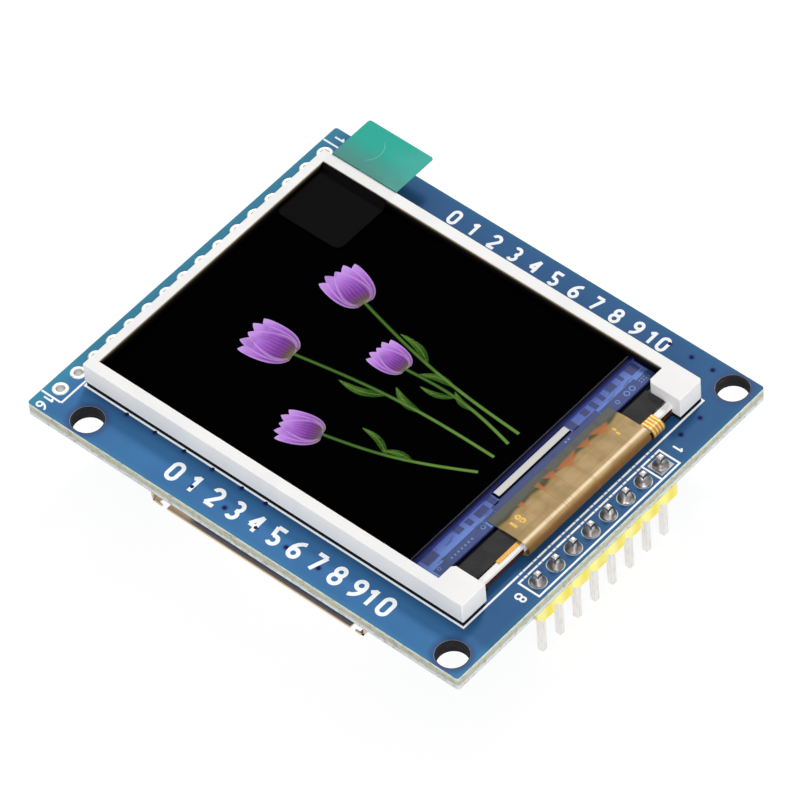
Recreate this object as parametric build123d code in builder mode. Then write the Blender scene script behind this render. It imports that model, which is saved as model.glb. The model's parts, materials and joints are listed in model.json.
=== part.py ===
from build123d import *
import math
import os

# A small colour display module: a circuit board with a backlit glass display on its upper side, a pin
# header and a memory card socket on its lower side. Sizes are in millimetres.
# Origin: centre of the four mounting holes, on the board's lower face, where standoffs would seat.
# X runs towards the header end, Y away from the card slot, Z up through the display.

# Board
board_length = 53.8
board_width = 44.5
board_thickness = 1.6
board_corner_radius = 0.3
mask_thickness = 0.04
hole_radius = 1.6
hole_inset_header_end = 2.3
hole_inset_row_end = 6.0
hole_inset_side = 1.93
mask_relief = 0.12

# Plated holes
pitch = 2.54
land_thickness = 0.06
plating = 0.04
drill_radius = 0.5
row_count = 16
row_inset = 1.35
row_land_radius = 0.72
header_count = 8
header_inset = 1.65
header_land_radius = 0.8

# Header
pin_side = 0.64
pin_above_board = 1.4
pin_below_housing = 6.0
pin_bevel = 0.16
housing_height = 2.54
housing_depth = 2.5
housing_notch = 0.5
solder_height = 0.95
solder_base_radius = 0.78
solder_neck_radius = 0.42

# Legend ink
ink_thickness = 0.03
ink_line = 0.2
ink_bold = 0.42
header_box_width = 2.7
header_box_margin = 1.38
outline_margin = 0.1
numeral_height = 2.4
small_numeral_height = 1.3
header_numeral_gap = 1.1
row_numeral_gap = 0.9
scale_count = 11
scale_start = -10.1
front_scale_inset = 2.35
back_scale_inset = 1.8
back_numeral_height = 1.9

# Display frame
frame_width = 34.75
frame_height = 2.45
frame_gap = 0.7
frame_to_header_edge = 3.5
frame_to_row_edge = 2.95
frame_shift_y = 0.05
frame_edge_round = 0.12
frame_top_round = 0.08
ear_inner_bevel = 0.35
side_bar = 1.25
end_bar = 1.0
ear_length = 3.9
ear_width = 3.35
ear_corner_round = 0.6
end_wall_inset = 1.0
end_wall_thickness = 0.7
end_wall_height = 1.0

# Display stack, from the board up
stack_clearance = 0.1
reflector_thickness = 0.06
reflector_inset = 0.3
guide_thickness = 0.5
diffuser_thickness = 0.06
prism_thickness = 0.06
rim_tape_thickness = 0.05
rim_tape_width = 1.4
rear_polariser_thickness = 0.12
glass_thickness = 0.3
front_polariser_thickness = 0.12
surface_film_thickness = 0.05
guide_end_setback = 4.1
glass_end_setback = 4.6
upper_glass_setback = 7.35
polariser_inset = 0.2
polariser_end_inset = 0.45
chip_length = 10.2
chip_width = 0.75
chip_height = 0.28
chip_gap = 0.22
chip_shift_y = 0.45

# Picture shown on the screen, as thin fields of colour
picture_thickness = 0.02
stem_foot_inset = 2.4
stem_width = 0.4
stem_lean = 0.8
leaf_width = 0.9
leaf_turn = 160
petal_count = 3
petal_spread = 26
petal_reach = 0.46
petal_slimness = 0.46

# Lamps and their flex
led_flex_thickness = 0.08
led_flex_length = 22.6
led_flex_shift_y = 0.7
led_flex_lap = 0.35
led_count = 4
led_length = 3.0
led_width = 0.9
led_height = 0.72
led_pitch = 5.2
led_guide_gap = 0.15
led_tail_width = 1.6
led_tail_fold_radius = 0.66
led_tail_clearance = 0.15
led_tail_reach = 2.6
shade_thickness = 0.05
shade_setback = 0.1
shade_glass_gap = 0.55

# Main flex
flex_thickness = 0.1
flex_width = 17.6
flex_shift_y = 1.3
flex_bond = 0.85
flex_crown = 1.35
flex_fold_radius = 0.85
flex_fold_setback = 0.15
flex_tail_width = 12.4
flex_tail_setback = 12.0
flex_ramp = 1.2
flex_tail_ramp = 1.4
flex_tail_straight = 1.2
flex_ramp_radius = 0.5
land_count = 14
land_pitch = 0.8
land_width = 0.45
land_length = 1.8
land_solder_height = 0.12

# Pull tab
tab_thickness = 0.1
tab_width = 8.2
tab_bond_length = 7.3
tab_overhang = 5.5
tab_lead_in = 0.55
tab_wall_gap = 0.2
tab_corner_round = 0.9
tab_end_round = 0.3
tab_shift = -0.2
tab_rest_gap = 0.02
tab_bend_radius = 0.4

# Mounting tape
tape_width = 4.65
tape_inset = 0.15

# Memory card socket
socket_width = 26.8
socket_depth = 26.0
socket_height = 2.8
socket_recess = 0.85
socket_shift_x = 1.2
shell_wall = 0.25
shell_corner_round = 0.8
shell_slit_width = 0.6
shell_slit_length = 6.0
shell_wing_width = 1.3
shell_lip = 0.2
shell_notch_length = 2.0
shell_window_length = 5.0
shell_window_width = 2.4
base_clearance = 0.05
base_setback = 0.6
base_rail_width = 0.95
base_rear_depth = 4.2
base_deck_thickness = 0.4
base_deck_setback = 7.0
contact_count = 9
contact_side_margin = 2.15
contact_width = 0.8
contact_thickness = 0.15
contact_reach = 8.5
contact_tail = 1.3
contact_dip = 0.9
contact_bend_radius = 0.6

# Parts on the lower side
chip_part_length = 2.0
chip_part_width = 1.25
chip_part_height = 0.55
chip_cap_length = 0.4
chip_part_pitch = 2.6
resistor_count = 6
parts_gap = 1.2
housing_margin = 0.1
box_margin = 0.45
package_gap = 1.05
package_taper = 6
capacitor_count = 4
regulator_length = 4.5
regulator_width = 2.5
regulator_height = 1.5
transistor_length = 2.9
transistor_width = 1.3
transistor_height = 1.0
lead_thickness = 0.15
lead_width = 0.42
lead_reach = 0.6

# Places worked out from the sizes above
hole_spacing_x = board_length - hole_inset_header_end - hole_inset_row_end
hole_spacing_y = board_width - 2 * hole_inset_side
header_edge = hole_spacing_x / 2 + hole_inset_header_end
row_edge = header_edge - board_length
board_middle = (header_edge + row_edge) / 2
side_edge = board_width / 2
header_x = header_edge - header_inset
row_x = row_edge + row_inset
header_half = (header_count - 1) * pitch / 2
row_half = (row_count - 1) * pitch / 2
laminate_thickness = board_thickness - 2 * mask_thickness
ink_level = board_thickness

frame_end = header_edge - frame_to_header_edge
frame_start = row_edge + frame_to_row_edge
frame_length = frame_end - frame_start
frame_bottom = board_thickness + frame_gap
frame_top = frame_bottom + frame_height
window_start = frame_start + end_bar
window_half = frame_width / 2 - side_bar
ear_start = frame_end - ear_length
ear_inner = frame_width / 2 - ear_width
wall_outer = frame_end - end_wall_inset
wall_inner = wall_outer - end_wall_thickness
wall_top = frame_bottom + end_wall_height
frame_centre = (frame_start + frame_end) / 2

stack_start = window_start + stack_clearance
stack_half = window_half - stack_clearance
guide_end = frame_end - guide_end_setback
glass_end = frame_end - glass_end_setback
upper_glass_end = frame_end - upper_glass_setback
guide_level = frame_bottom
diffuser_level = guide_level + guide_thickness
lower_prism_level = diffuser_level + diffuser_thickness
upper_prism_level = lower_prism_level + prism_thickness
rim_tape_level = upper_prism_level + prism_thickness
rear_polariser_level = rim_tape_level + rim_tape_thickness
lower_glass_level = rear_polariser_level + rear_polariser_thickness
ledge_level = lower_glass_level + glass_thickness
front_polariser_level = ledge_level + glass_thickness
picture_level = front_polariser_level + front_polariser_thickness
surface_film_level = picture_level + picture_thickness
screen_level = surface_film_level + surface_film_thickness

hole_points = [
    (x_side * hole_spacing_x / 2, y_side * hole_spacing_y / 2) for x_side in (-1, 1) for y_side in (-1, 1)
]
row_points = [(row_x, -row_half + step * pitch) for step in range(row_count)]
header_points = [(header_x, header_half - step * pitch) for step in range(header_count)]
flex_y = frame_shift_y + flex_shift_y
flex_tail_end = frame_end - flex_tail_setback
land_points = [
    (flex_tail_end, flex_y + (step - (land_count - 1) / 2) * land_pitch) for step in range(land_count)
]
laminate_top = board_thickness - mask_thickness
land_top = laminate_top + land_thickness
lower_land_level = mask_thickness - land_thickness


def centred_between(low, high):
    return (low + high) / 2



os.makedirs("parts", exist_ok=True)


# Circuit board
with BuildPart() as board:
    with BuildSketch(Plane.XY.offset(mask_thickness)):
        with Locations((board_middle, 0)):
            RectangleRounded(board_length, board_width, board_corner_radius)
        with Locations(*hole_points):
            Circle(hole_radius, mode=Mode.SUBTRACT)
        with Locations(*row_points, *header_points):
            Circle(drill_radius + plating, mode=Mode.SUBTRACT)
    extrude(amount=laminate_thickness)
board.part.label = "board"
export_step(board.part, "parts/board.step")


# Solder mask on both sides, open round the mounting holes and over every land
for mask_name, mask_level in (("mask_top", laminate_top), ("mask_bottom", 0)):
    with BuildPart() as mask:
        with BuildSketch(Plane.XY.offset(mask_level)):
            with Locations((board_middle, 0)):
                RectangleRounded(board_length, board_width, board_corner_radius)
            with Locations(*hole_points):
                Circle(hole_radius + mask_relief, mode=Mode.SUBTRACT)
            with Locations(*row_points):
                Circle(row_land_radius + mask_relief, mode=Mode.SUBTRACT)
            with Locations(header_points[0]):
                square_relief = 2 * (header_land_radius + mask_relief)
                Rectangle(square_relief, square_relief, mode=Mode.SUBTRACT)
            with Locations(*header_points[1:]):
                Circle(header_land_radius + mask_relief, mode=Mode.SUBTRACT)
            if mask_name == "mask_top":
                with Locations(*land_points):
                    Rectangle(land_length + mask_relief, land_width + mask_relief, mode=Mode.SUBTRACT)
        extrude(amount=mask_thickness)
    mask.part.label = mask_name
    export_step(mask.part, f"parts/{mask_name}.step")


# Plated eyelets: a land on each face and the barrel between them
eyelet_sets = (
    ("row_eyelets", row_points, row_land_radius, 0),
    ("header_eyelets", header_points, header_land_radius, 1),
)
for eyelet_name, points, land_radius, square_count in eyelet_sets:
    with BuildPart() as eyelets:
        for level in (lower_land_level, laminate_top):
            with BuildSketch(Plane.XY.offset(level)):
                with Locations(*points[square_count:]):
                    Circle(land_radius)
                if square_count:
                    with Locations(*points[:square_count]):
                        Rectangle(2 * land_radius, 2 * land_radius)
                with Locations(*points):
                    Circle(drill_radius, mode=Mode.SUBTRACT)
            extrude(amount=land_thickness)
        with BuildSketch(Plane.XY.offset(mask_thickness)):
            with Locations(*points):
                Circle(drill_radius + plating)
                Circle(drill_radius, mode=Mode.SUBTRACT)
        extrude(amount=laminate_thickness)
    eyelets.part.label = eyelet_name
    export_step(eyelets.part, f"parts/{eyelet_name}.step")


# Numerals are drawn as strokes, the way board legends are: an upright cell, its middle at the origin
def numeral(symbol, height, stroke):
    half = (height - stroke) / 2
    side = 0.52 * half
    bowl = half / 2
    with BuildLine() as strokes:
        if symbol == "0":
            CenterArc((0, half - side), side, 0, 180)
            CenterArc((0, side - half), side, 180, 180)
            Line((side, half - side), (side, side - half))
            Line((-side, half - side), (-side, side - half))
        elif symbol == "1":
            Line((0, -half), (0, half))
            Line((0, half - stroke / 4), (-side, half - side))
        elif symbol == "2":
            upper = CenterArc((0, half - side), side, -35, 205)
            Line(upper @ 0, (-side, -half))
            Line((-side, -half), (side, -half))
        elif symbol == "3":
            CenterArc((0, bowl), bowl, -90, 230)
            CenterArc((0, -bowl), bowl, -140, 230)
        elif symbol == "4":
            Line((side / 2, -half), (side / 2, half))
            Line((side / 2, half), (-side, -half / 3))
            Line((-side, -half / 3), (side, -half / 3))
        elif symbol == "5":
            lower = CenterArc((0, -bowl), bowl, -140, 270)
            Line(lower @ 1, (-side, half))
            Line((-side, half), (side, half))
        elif symbol in ("6", "9"):
            up = 1 if symbol == "6" else -1
            CenterArc((0, -up * bowl), bowl, 0, 180)
            CenterArc((0, -up * bowl), bowl, 180, 180)
            ThreePointArc((-up * bowl, -up * bowl), (-up * bowl / 2, up * bowl), (up * bowl, up * half))
        elif symbol == "7":
            Line((-side, half), (side, half))
            Line((side, half), (-side / 3, -half))
        elif symbol == "8":
            for up, ring in ((1, 0.95 * bowl), (-1, 1.1 * bowl)):
                CenterArc((0, up * (half - ring)), ring, 0, 180)
                CenterArc((0, up * (half - ring)), ring, 180, 180)
    with BuildSketch() as glyph:
        for edge in strokes.edges():
            trace(edge, line_width=stroke)
    return glyph.sketch


def number_places(number, middle_x, middle_y, height, turn):
    # each numeral of a number with its place; turn is in degrees, and numerals follow the turned line
    digits = str(number)
    advance = 0.72 * height
    along = (math.cos(math.radians(turn)), math.sin(math.radians(turn)))
    for step, symbol in enumerate(digits):
        shift = (step - (len(digits) - 1) / 2) * advance
        yield symbol, Location((middle_x + shift * along[0], middle_y + shift * along[1]), turn)


glyphs = {
    (symbol, size): numeral(symbol, size, stroke)
    for size, stroke in (
        (numeral_height, ink_bold),
        (back_numeral_height, ink_bold * back_numeral_height / numeral_height),
        (small_numeral_height, ink_line),
    )
    for symbol in "0123456789"
}

# Legend ink of the upper side: display outline, header box, row box, numerals, and a plain numbered
# scale along each side
outline_length = frame_length + 2 * outline_margin
outline_width = frame_width + 2 * outline_margin
header_box_length = 2 * (header_half + header_box_margin)
row_line_x = row_x + pitch / 2
with BuildPart() as legend_top:
    with BuildSketch(Plane.XY.offset(ink_level)):
        with Locations((frame_centre, frame_shift_y)):
            Rectangle(outline_length, outline_width)
            Rectangle(outline_length - 2 * ink_line, outline_width - 2 * ink_line, mode=Mode.SUBTRACT)
    extrude(amount=ink_thickness)
    with BuildSketch(Plane.XY.offset(ink_level)):
        with Locations((header_x, 0)):
            Rectangle(header_box_width, header_box_length)
            Rectangle(
                header_box_width - 2 * ink_line, header_box_length - 2 * ink_line, mode=Mode.SUBTRACT
            )
        with Locations((header_x, header_half - pitch / 2)):
            Rectangle(header_box_width, ink_line)
        with Locations((row_line_x, 0)):
            Rectangle(ink_line, 2 * row_half + pitch)
        for row_side in (-1, 1):
            with Locations(((row_edge + row_line_x) / 2, row_side * (row_half + pitch / 2))):
                Rectangle(row_line_x - row_edge - ink_line, ink_line)
        for step in range(scale_count):
            scale_x = board_middle + scale_start + step * pitch
            for scale_y, height in (
                (front_scale_inset - side_edge, numeral_height),
                (side_edge - back_scale_inset, back_numeral_height),
            ):
                for symbol, place in number_places(step, scale_x, scale_y, height, 0):
                    with Locations(place):
                        add(glyphs[symbol, height])
        end_numbers = (
            (1, header_x, header_half + header_box_margin + header_numeral_gap),
            (header_count, header_x, -header_half - header_box_margin - header_numeral_gap),
            (row_count, row_x, -row_half - pitch / 2 - row_numeral_gap),
            (1, row_x, row_half + pitch / 2 + row_numeral_gap),
        )
        for number, number_x, number_y in end_numbers:
            for symbol, place in number_places(number, number_x, number_y, small_numeral_height, -90):
                with Locations(place):
                    add(glyphs[symbol, small_numeral_height])
    extrude(amount=ink_thickness)
legend_top.part.label = "legend_top"
export_step(legend_top.part, "parts/legend_top.step")


# Header: segmented housing under the board, square pins through it, a solder cone round each pin
with BuildPart() as header_housing:
    with BuildSketch(Plane.XY.offset(lower_land_level)):
        with Locations(*header_points):
            Polygon(
                (housing_depth / 2, pitch / 2 - housing_notch),
                (housing_depth / 2 - housing_notch, pitch / 2),
                (housing_notch - housing_depth / 2, pitch / 2),
                (-housing_depth / 2, pitch / 2 - housing_notch),
                (-housing_depth / 2, housing_notch - pitch / 2),
                (housing_notch - housing_depth / 2, -pitch / 2),
                (housing_depth / 2 - housing_notch, -pitch / 2),
                (housing_depth / 2, housing_notch - pitch / 2),
            )
            Rectangle(pin_side, pin_side, mode=Mode.SUBTRACT)
    extrude(amount=-housing_height)
header_housing.part.label = "header_housing"
export_step(header_housing.part, "parts/header_housing.step")

pin_foot = lower_land_level - housing_height - pin_below_housing
pin_head = board_thickness + pin_above_board
with BuildPart() as header_pins:
    with BuildSketch(Plane.XY.offset(pin_foot)):
        with Locations(*header_points):
            Rectangle(pin_side, pin_side)
    extrude(amount=pin_head - pin_foot)
    pin_ends = header_pins.faces().group_by(Axis.Z)[0] + header_pins.faces().group_by(Axis.Z)[-1]
    chamfer(pin_ends.edges(), length=pin_bevel)
header_pins.part.label = "header_pins"
export_step(header_pins.part, "parts/header_pins.step")

with BuildPart() as header_solder:
    for solder_x, solder_y in header_points:
        profile_plane = Plane(origin=(solder_x, solder_y, 0), x_dir=(1, 0, 0), z_dir=(0, -1, 0))
        with BuildSketch(profile_plane):
            with BuildLine():
                Polyline(
                    (0, solder_height + land_top),
                    (0, lower_land_level),
                    (drill_radius, lower_land_level),
                    (drill_radius, land_top),
                    (solder_base_radius, land_top),
                )
                ThreePointArc(
                    (solder_base_radius, land_top),
                    ((solder_base_radius + solder_neck_radius) / 2 - 0.06, land_top + solder_height * 0.42),
                    (solder_neck_radius, land_top + solder_height),
                )
                Line((solder_neck_radius, land_top + solder_height), (0, land_top + solder_height))
            make_face()
        revolve(axis=Axis((solder_x, solder_y, 0), (0, 0, 1)))
    with BuildSketch(Plane.XY.offset(pin_foot)):
        with Locations(*header_points):
            Rectangle(pin_side, pin_side)
    extrude(amount=pin_head - pin_foot, mode=Mode.SUBTRACT)
header_solder.part.label = "header_solder"
export_step(header_solder.part, "parts/header_solder.step")


# Foam tape between the board and the display, one strip along each side, narrower under the ears
tape_start = frame_start + tape_inset
tape_end = wall_outer - tape_inset
tape_y = frame_width / 2 - tape_inset - tape_width / 2
with BuildPart() as mounting_tape:
    with BuildSketch(Plane.XY.offset(board_thickness + ink_thickness)):
        for side in (-1, 1):
            with Locations((centred_between(tape_start, tape_end), frame_shift_y + side * tape_y)):
                Rectangle(tape_end - tape_start, tape_width)
            ear_y = (frame_width - ear_width) / 2
            with Locations((frame_end - ear_length / 2, frame_shift_y + side * ear_y)):
                Rectangle(ear_length - 2 * tape_inset, ear_width - 2 * tape_inset)
    extrude(amount=frame_gap - ink_thickness - reflector_thickness)
mounting_tape.part.label = "mounting_tape"
export_step(mounting_tape.part, "parts/mounting_tape.step")


# Moulded frame: a wall round the display, wide ears at the flex end and a low wall between them
with BuildPart() as backlight_frame:
    with BuildSketch(Plane.XY.offset(frame_bottom)) as frame_outline:
        with Locations((frame_centre, frame_shift_y)):
            Rectangle(frame_length, frame_width)
        corners = frame_outline.vertices().sort_by(lambda corner: corner.X + corner.Y)
        fillet(corners[:-1], radius=frame_edge_round)
        fillet(corners[-1], radius=ear_corner_round)
        with Locations((centred_between(window_start, ear_start), frame_shift_y)):
            Rectangle(ear_start - window_start, 2 * window_half, mode=Mode.SUBTRACT)
        with Locations((centred_between(ear_start, wall_inner), frame_shift_y)):
            Rectangle(wall_inner - ear_start, 2 * ear_inner, mode=Mode.SUBTRACT)
        with Locations((centred_between(wall_outer, frame_end), frame_shift_y)):
            Rectangle(frame_end - wall_outer, 2 * ear_inner, mode=Mode.SUBTRACT)
    extrude(amount=frame_height)
    with BuildSketch(Plane.XY.offset(wall_top)):
        with Locations((centred_between(wall_inner, wall_outer), frame_shift_y)):
            Rectangle(end_wall_thickness, 2 * ear_inner)
    extrude(amount=frame_top - wall_top, mode=Mode.SUBTRACT)
    chamfer(
        backlight_frame.edges()
        .filter_by(Axis.Z)
        .filter_by(lambda edge: abs(edge.center().X - ear_start) < 0.01)
        .filter_by(lambda edge: abs(edge.center().Y - frame_shift_y) < ear_inner + 0.01),
        length=ear_inner_bevel,
    )
    top_edges = backlight_frame.faces().sort_by(Axis.Z)[-1].outer_wire().edges()
    fillet(top_edges, radius=frame_top_round)
backlight_frame.part.label = "backlight_frame"
export_step(backlight_frame.part, "parts/backlight_frame.step")


# Flat layers of the display, each a rectangle: name, start and end in X, half width, level, thickness
layers = (
    (
        "reflector_film",
        frame_start + reflector_inset,
        wall_outer - reflector_inset,
        frame_width / 2 - reflector_inset,
        frame_bottom - reflector_thickness,
        reflector_thickness,
    ),
    ("light_guide", stack_start, guide_end, stack_half, guide_level, guide_thickness),
    ("diffuser_film", stack_start, upper_glass_end, stack_half, diffuser_level, diffuser_thickness),
    ("lower_prism_film", stack_start, upper_glass_end, stack_half, lower_prism_level, prism_thickness),
    ("upper_prism_film", stack_start, upper_glass_end, stack_half, upper_prism_level, prism_thickness),
    (
        "rear_polariser",
        stack_start + polariser_inset,
        upper_glass_end - polariser_end_inset,
        stack_half - polariser_inset,
        rear_polariser_level,
        rear_polariser_thickness,
    ),
    ("tft_glass", stack_start, glass_end, stack_half, lower_glass_level, glass_thickness),
    ("filter_glass", stack_start, upper_glass_end, stack_half, ledge_level, glass_thickness),
    (
        "front_polariser",
        stack_start + polariser_inset,
        upper_glass_end - polariser_end_inset,
        stack_half - polariser_inset,
        front_polariser_level,
        front_polariser_thickness,
    ),
    (
        "surface_film",
        stack_start + polariser_inset,
        upper_glass_end - polariser_end_inset,
        stack_half - polariser_inset,
        surface_film_level,
        surface_film_thickness,
    ),
    (
        "shade_film",
        glass_end + shade_glass_gap,
        wall_inner - shade_setback,
        ear_inner - shade_setback,
        wall_top + led_flex_thickness,
        shade_thickness,
    ),
)
for layer_name, layer_start, layer_end, layer_half, layer_level, layer_thickness in layers:
    with BuildPart() as layer:
        with BuildSketch(Plane.XY.offset(layer_level)):
            with Locations((centred_between(layer_start, layer_end), frame_shift_y)):
                Rectangle(layer_end - layer_start, 2 * layer_half)
        extrude(amount=layer_thickness)
    layer.part.label = layer_name
    export_step(layer.part, f"parts/{layer_name}.step")

# Black rim tape, a window cut in it for the picture
with BuildPart() as rim_tape:
    with BuildSketch(Plane.XY.offset(rim_tape_level)):
        with Locations((centred_between(stack_start, guide_end), frame_shift_y)):
            Rectangle(guide_end - stack_start, 2 * stack_half)
        rim_window_start = stack_start + rim_tape_width
        rim_window_end = upper_glass_end - rim_tape_width
        with Locations((centred_between(rim_window_start, rim_window_end), frame_shift_y)):
            Rectangle(
                rim_window_end - rim_window_start, 2 * (stack_half - rim_tape_width), mode=Mode.SUBTRACT
            )
    extrude(amount=rim_tape_thickness)
rim_tape.part.label = "rim_tape"
export_step(rim_tape.part, "parts/rim_tape.step")

# Driver chip on the ledge of the lower glass
chip_x = upper_glass_end + chip_gap + chip_width / 2
with BuildPart() as driver_chip:
    with BuildSketch(Plane.XY.offset(ledge_level)):
        with Locations((chip_x, frame_shift_y + chip_shift_y)):
            Rectangle(chip_width, chip_length)
    extrude(amount=chip_height)
driver_chip.part.label = "driver_chip"
export_step(driver_chip.part, "parts/driver_chip.step")


# Picture on the screen: plain cup-shaped blossoms on long stems, as thin fields of colour
# each blossom: foot in X and Y and petal length as shares of half the picture's width, turn in degrees
picture_x = centred_between(stack_start, upper_glass_end)
blossom_shares = (
    (-0.31, 0.34, 0.33, 166),
    (-0.38, -0.22, 0.35, 187),
    (0.16, -0.58, 0.29, 200),
    (0.22, 0.10, 0.26, 176),
)
blossoms = [
    (picture_x + x_share * stack_half, frame_shift_y + y_share * stack_half, petal_share * stack_half, turn)
    for x_share, y_share, petal_share, turn in blossom_shares
]
stem_foot_x = upper_glass_end - stem_foot_inset
with BuildPart() as picture_blossoms:
    with BuildSketch(Plane.XY.offset(picture_level)):
        for blossom_x, blossom_y, petal_length, turn in blossoms:
            for step in range(petal_count):
                angle = turn + (step - (petal_count - 1) / 2) * petal_spread
                reach = petal_length * petal_reach
                petal_place = (
                    blossom_x + reach * math.cos(math.radians(angle)),
                    blossom_y + reach * math.sin(math.radians(angle)),
                )
                with Locations(Location(petal_place, angle)):
                    Ellipse(petal_length / 2, petal_length * petal_slimness / 2)
    extrude(amount=picture_thickness)
picture_blossoms.part.label = "picture_blossoms"
export_step(picture_blossoms.part, "parts/picture_blossoms.step")

with BuildPart() as picture_stems:
    with BuildSketch(Plane.XY.offset(picture_level)):
        for blossom_x, blossom_y, petal_length, turn in blossoms:
            stem_middle_x = centred_between(blossom_x, stem_foot_x)
            with BuildLine(mode=Mode.PRIVATE) as stem:
                ThreePointArc(
                    (blossom_x + stem_width, blossom_y),
                    (stem_middle_x, blossom_y * stem_lean),
                    (stem_foot_x, blossom_y * stem_lean / 2),
                )
            trace(stem.edges(), line_width=stem_width)
            with Locations(Location((stem_middle_x, blossom_y * stem_lean + leaf_width), leaf_turn)):
                Ellipse(petal_length / 2, leaf_width / 2)
    extrude(amount=picture_thickness)
picture_stems.part.label = "picture_stems"
export_step(picture_stems.part, "parts/picture_stems.step")


# Lamps hang from a flex strip that lies on the end wall; the strip's tail folds round the wall
led_flex_level = wall_top + led_flex_thickness / 2
led_flex_start = guide_end + led_guide_gap
led_flex_end = wall_inner + led_flex_lap
led_flex_y = frame_shift_y + led_flex_shift_y
led_tail_y = led_flex_y + led_flex_length / 2 - led_tail_width / 2
led_fold_x = wall_outer + led_tail_clearance
with BuildPart() as led_flex:
    with BuildSketch(Plane.XY.offset(wall_top)):
        with Locations((centred_between(led_flex_start, led_flex_end), led_flex_y)):
            Rectangle(led_flex_end - led_flex_start, led_flex_length)
    extrude(amount=led_flex_thickness)
    with BuildSketch(Plane.XZ.offset(-led_tail_y)):
        with BuildLine() as led_tail_path:
            Line((led_flex_end - led_flex_lap, led_flex_level), (led_fold_x, led_flex_level))
            led_fold = CenterArc(
                (led_fold_x, led_flex_level - led_tail_fold_radius), led_tail_fold_radius, 90, -180
            )
            Line(led_fold @ 1, (led_fold_x - led_tail_reach, (led_fold @ 1).Y))
        trace(line_width=led_flex_thickness)
    extrude(amount=led_tail_width / 2, both=True)
led_flex.part.label = "led_flex"
export_step(led_flex.part, "parts/led_flex.step")

with BuildPart() as leds:
    with BuildSketch(Plane.XY.offset(wall_top)):
        for step in range(led_count):
            led_y = led_flex_y + (step - (led_count - 1) / 2) * led_pitch
            with Locations((led_flex_start + led_width / 2, led_y)):
                Rectangle(led_width, led_length)
    extrude(amount=-led_height)
leds.part.label = "leds"
export_step(leds.part, "parts/leds.step")


# Main flex: bonded to the ledge, over the lamps, folded round the end wall and back under the display
# to its soldered tail
flex_start = glass_end - flex_bond
flex_bond_level = ledge_level + flex_thickness / 2
flex_crown_level = frame_bottom + flex_crown
flex_fold_x = wall_outer - flex_fold_setback
flex_under_level = flex_crown_level - 2 * flex_fold_radius
flex_tail_level = land_top + flex_thickness / 2
shoulder_x = flex_tail_end + land_length / 2 + flex_tail_straight
with BuildPart() as main_flex:
    with BuildSketch(Plane.XZ.offset(-flex_y)):
        with BuildLine():
            FilletPolyline(
                (flex_start, flex_bond_level),
                (glass_end + flex_thickness, flex_bond_level),
                (glass_end + flex_thickness + flex_ramp, flex_crown_level),
                (flex_fold_x, flex_crown_level),
                radius=flex_ramp_radius,
            )
            CenterArc((flex_fold_x, flex_crown_level - flex_fold_radius), flex_fold_radius, 90, -180)
            FilletPolyline(
                (flex_fold_x, flex_under_level),
                (shoulder_x + flex_tail_ramp, flex_under_level),
                (shoulder_x, flex_tail_level),
                (flex_tail_end, flex_tail_level),
                radius=flex_ramp_radius,
            )
        trace(line_width=flex_thickness)
    extrude(amount=flex_width / 2, both=True)
    tail_cut_width = (flex_width - flex_tail_width) / 2
    with BuildSketch(Plane.XY.offset(board_thickness)):
        for side in (-1, 1):
            with Locations(
                (
                    centred_between(flex_tail_end, shoulder_x + flex_tail_ramp),
                    flex_y + side * (flex_tail_width + tail_cut_width) / 2,
                )
            ):
                Rectangle(shoulder_x + flex_tail_ramp - flex_tail_end, tail_cut_width)
    extrude(amount=frame_gap, mode=Mode.SUBTRACT)
main_flex.part.label = "main_flex"
export_step(main_flex.part, "parts/main_flex.step")

# Solder lands under the flex's tail, and the solder at its edge
with BuildPart() as flex_lands:
    with BuildSketch(Plane.XY.offset(laminate_top)):
        with Locations(*land_points):
            Rectangle(land_length, land_width)
    extrude(amount=land_thickness)
flex_lands.part.label = "flex_lands"
export_step(flex_lands.part, "parts/flex_lands.step")

with BuildPart() as flex_solder:
    with BuildSketch(Plane.XZ.offset(-land_points[0][1] + land_width / 2)):
        with BuildLine():
            Polyline(
                (flex_tail_end - land_length / 2, land_top),
                (flex_tail_end, land_top),
                (flex_tail_end, land_top + land_solder_height),
                (flex_tail_end - land_length / 2, land_top),
            )
        make_face()
    extrude(amount=-land_width)
    first_bead = flex_solder.part
    for step in range(1, land_count):
        add(first_bead.moved(Location((0, step * land_pitch, 0))))
flex_solder.part.label = "flex_solder"
export_step(flex_solder.part, "parts/flex_solder.step")


# Pull tab: stuck to the surface film, up over the frame's side wall and out past the board
tab_level = screen_level + tab_thickness / 2
tab_crown = frame_top + tab_rest_gap + tab_thickness / 2
tab_wall_y = frame_shift_y + window_half
tab_rise_y = tab_wall_y - tab_wall_gap
tab_x = stack_start + polariser_inset + tab_shift + tab_width / 2
with BuildPart() as pull_tab:
    with BuildSketch(Plane.YZ.offset(tab_x)):
        with BuildLine():
            FilletPolyline(
                (tab_wall_y - tab_bond_length, tab_level),
                (tab_rise_y - tab_lead_in, tab_level),
                (tab_rise_y, tab_crown),
                (frame_shift_y + frame_width / 2 + tab_overhang, tab_crown),
                radius=tab_bend_radius,
            )
        trace(line_width=tab_thickness)
    extrude(amount=tab_width / 2, both=True)
    fillet(pull_tab.edges().filter_by(Axis.Z).group_by(Axis.Y)[0], radius=tab_corner_round)
    fillet(pull_tab.edges().filter_by(Axis.Z).group_by(Axis.Y)[-1], radius=tab_end_round)
pull_tab.part.label = "pull_tab"
export_step(pull_tab.part, "parts/pull_tab.step")


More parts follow.
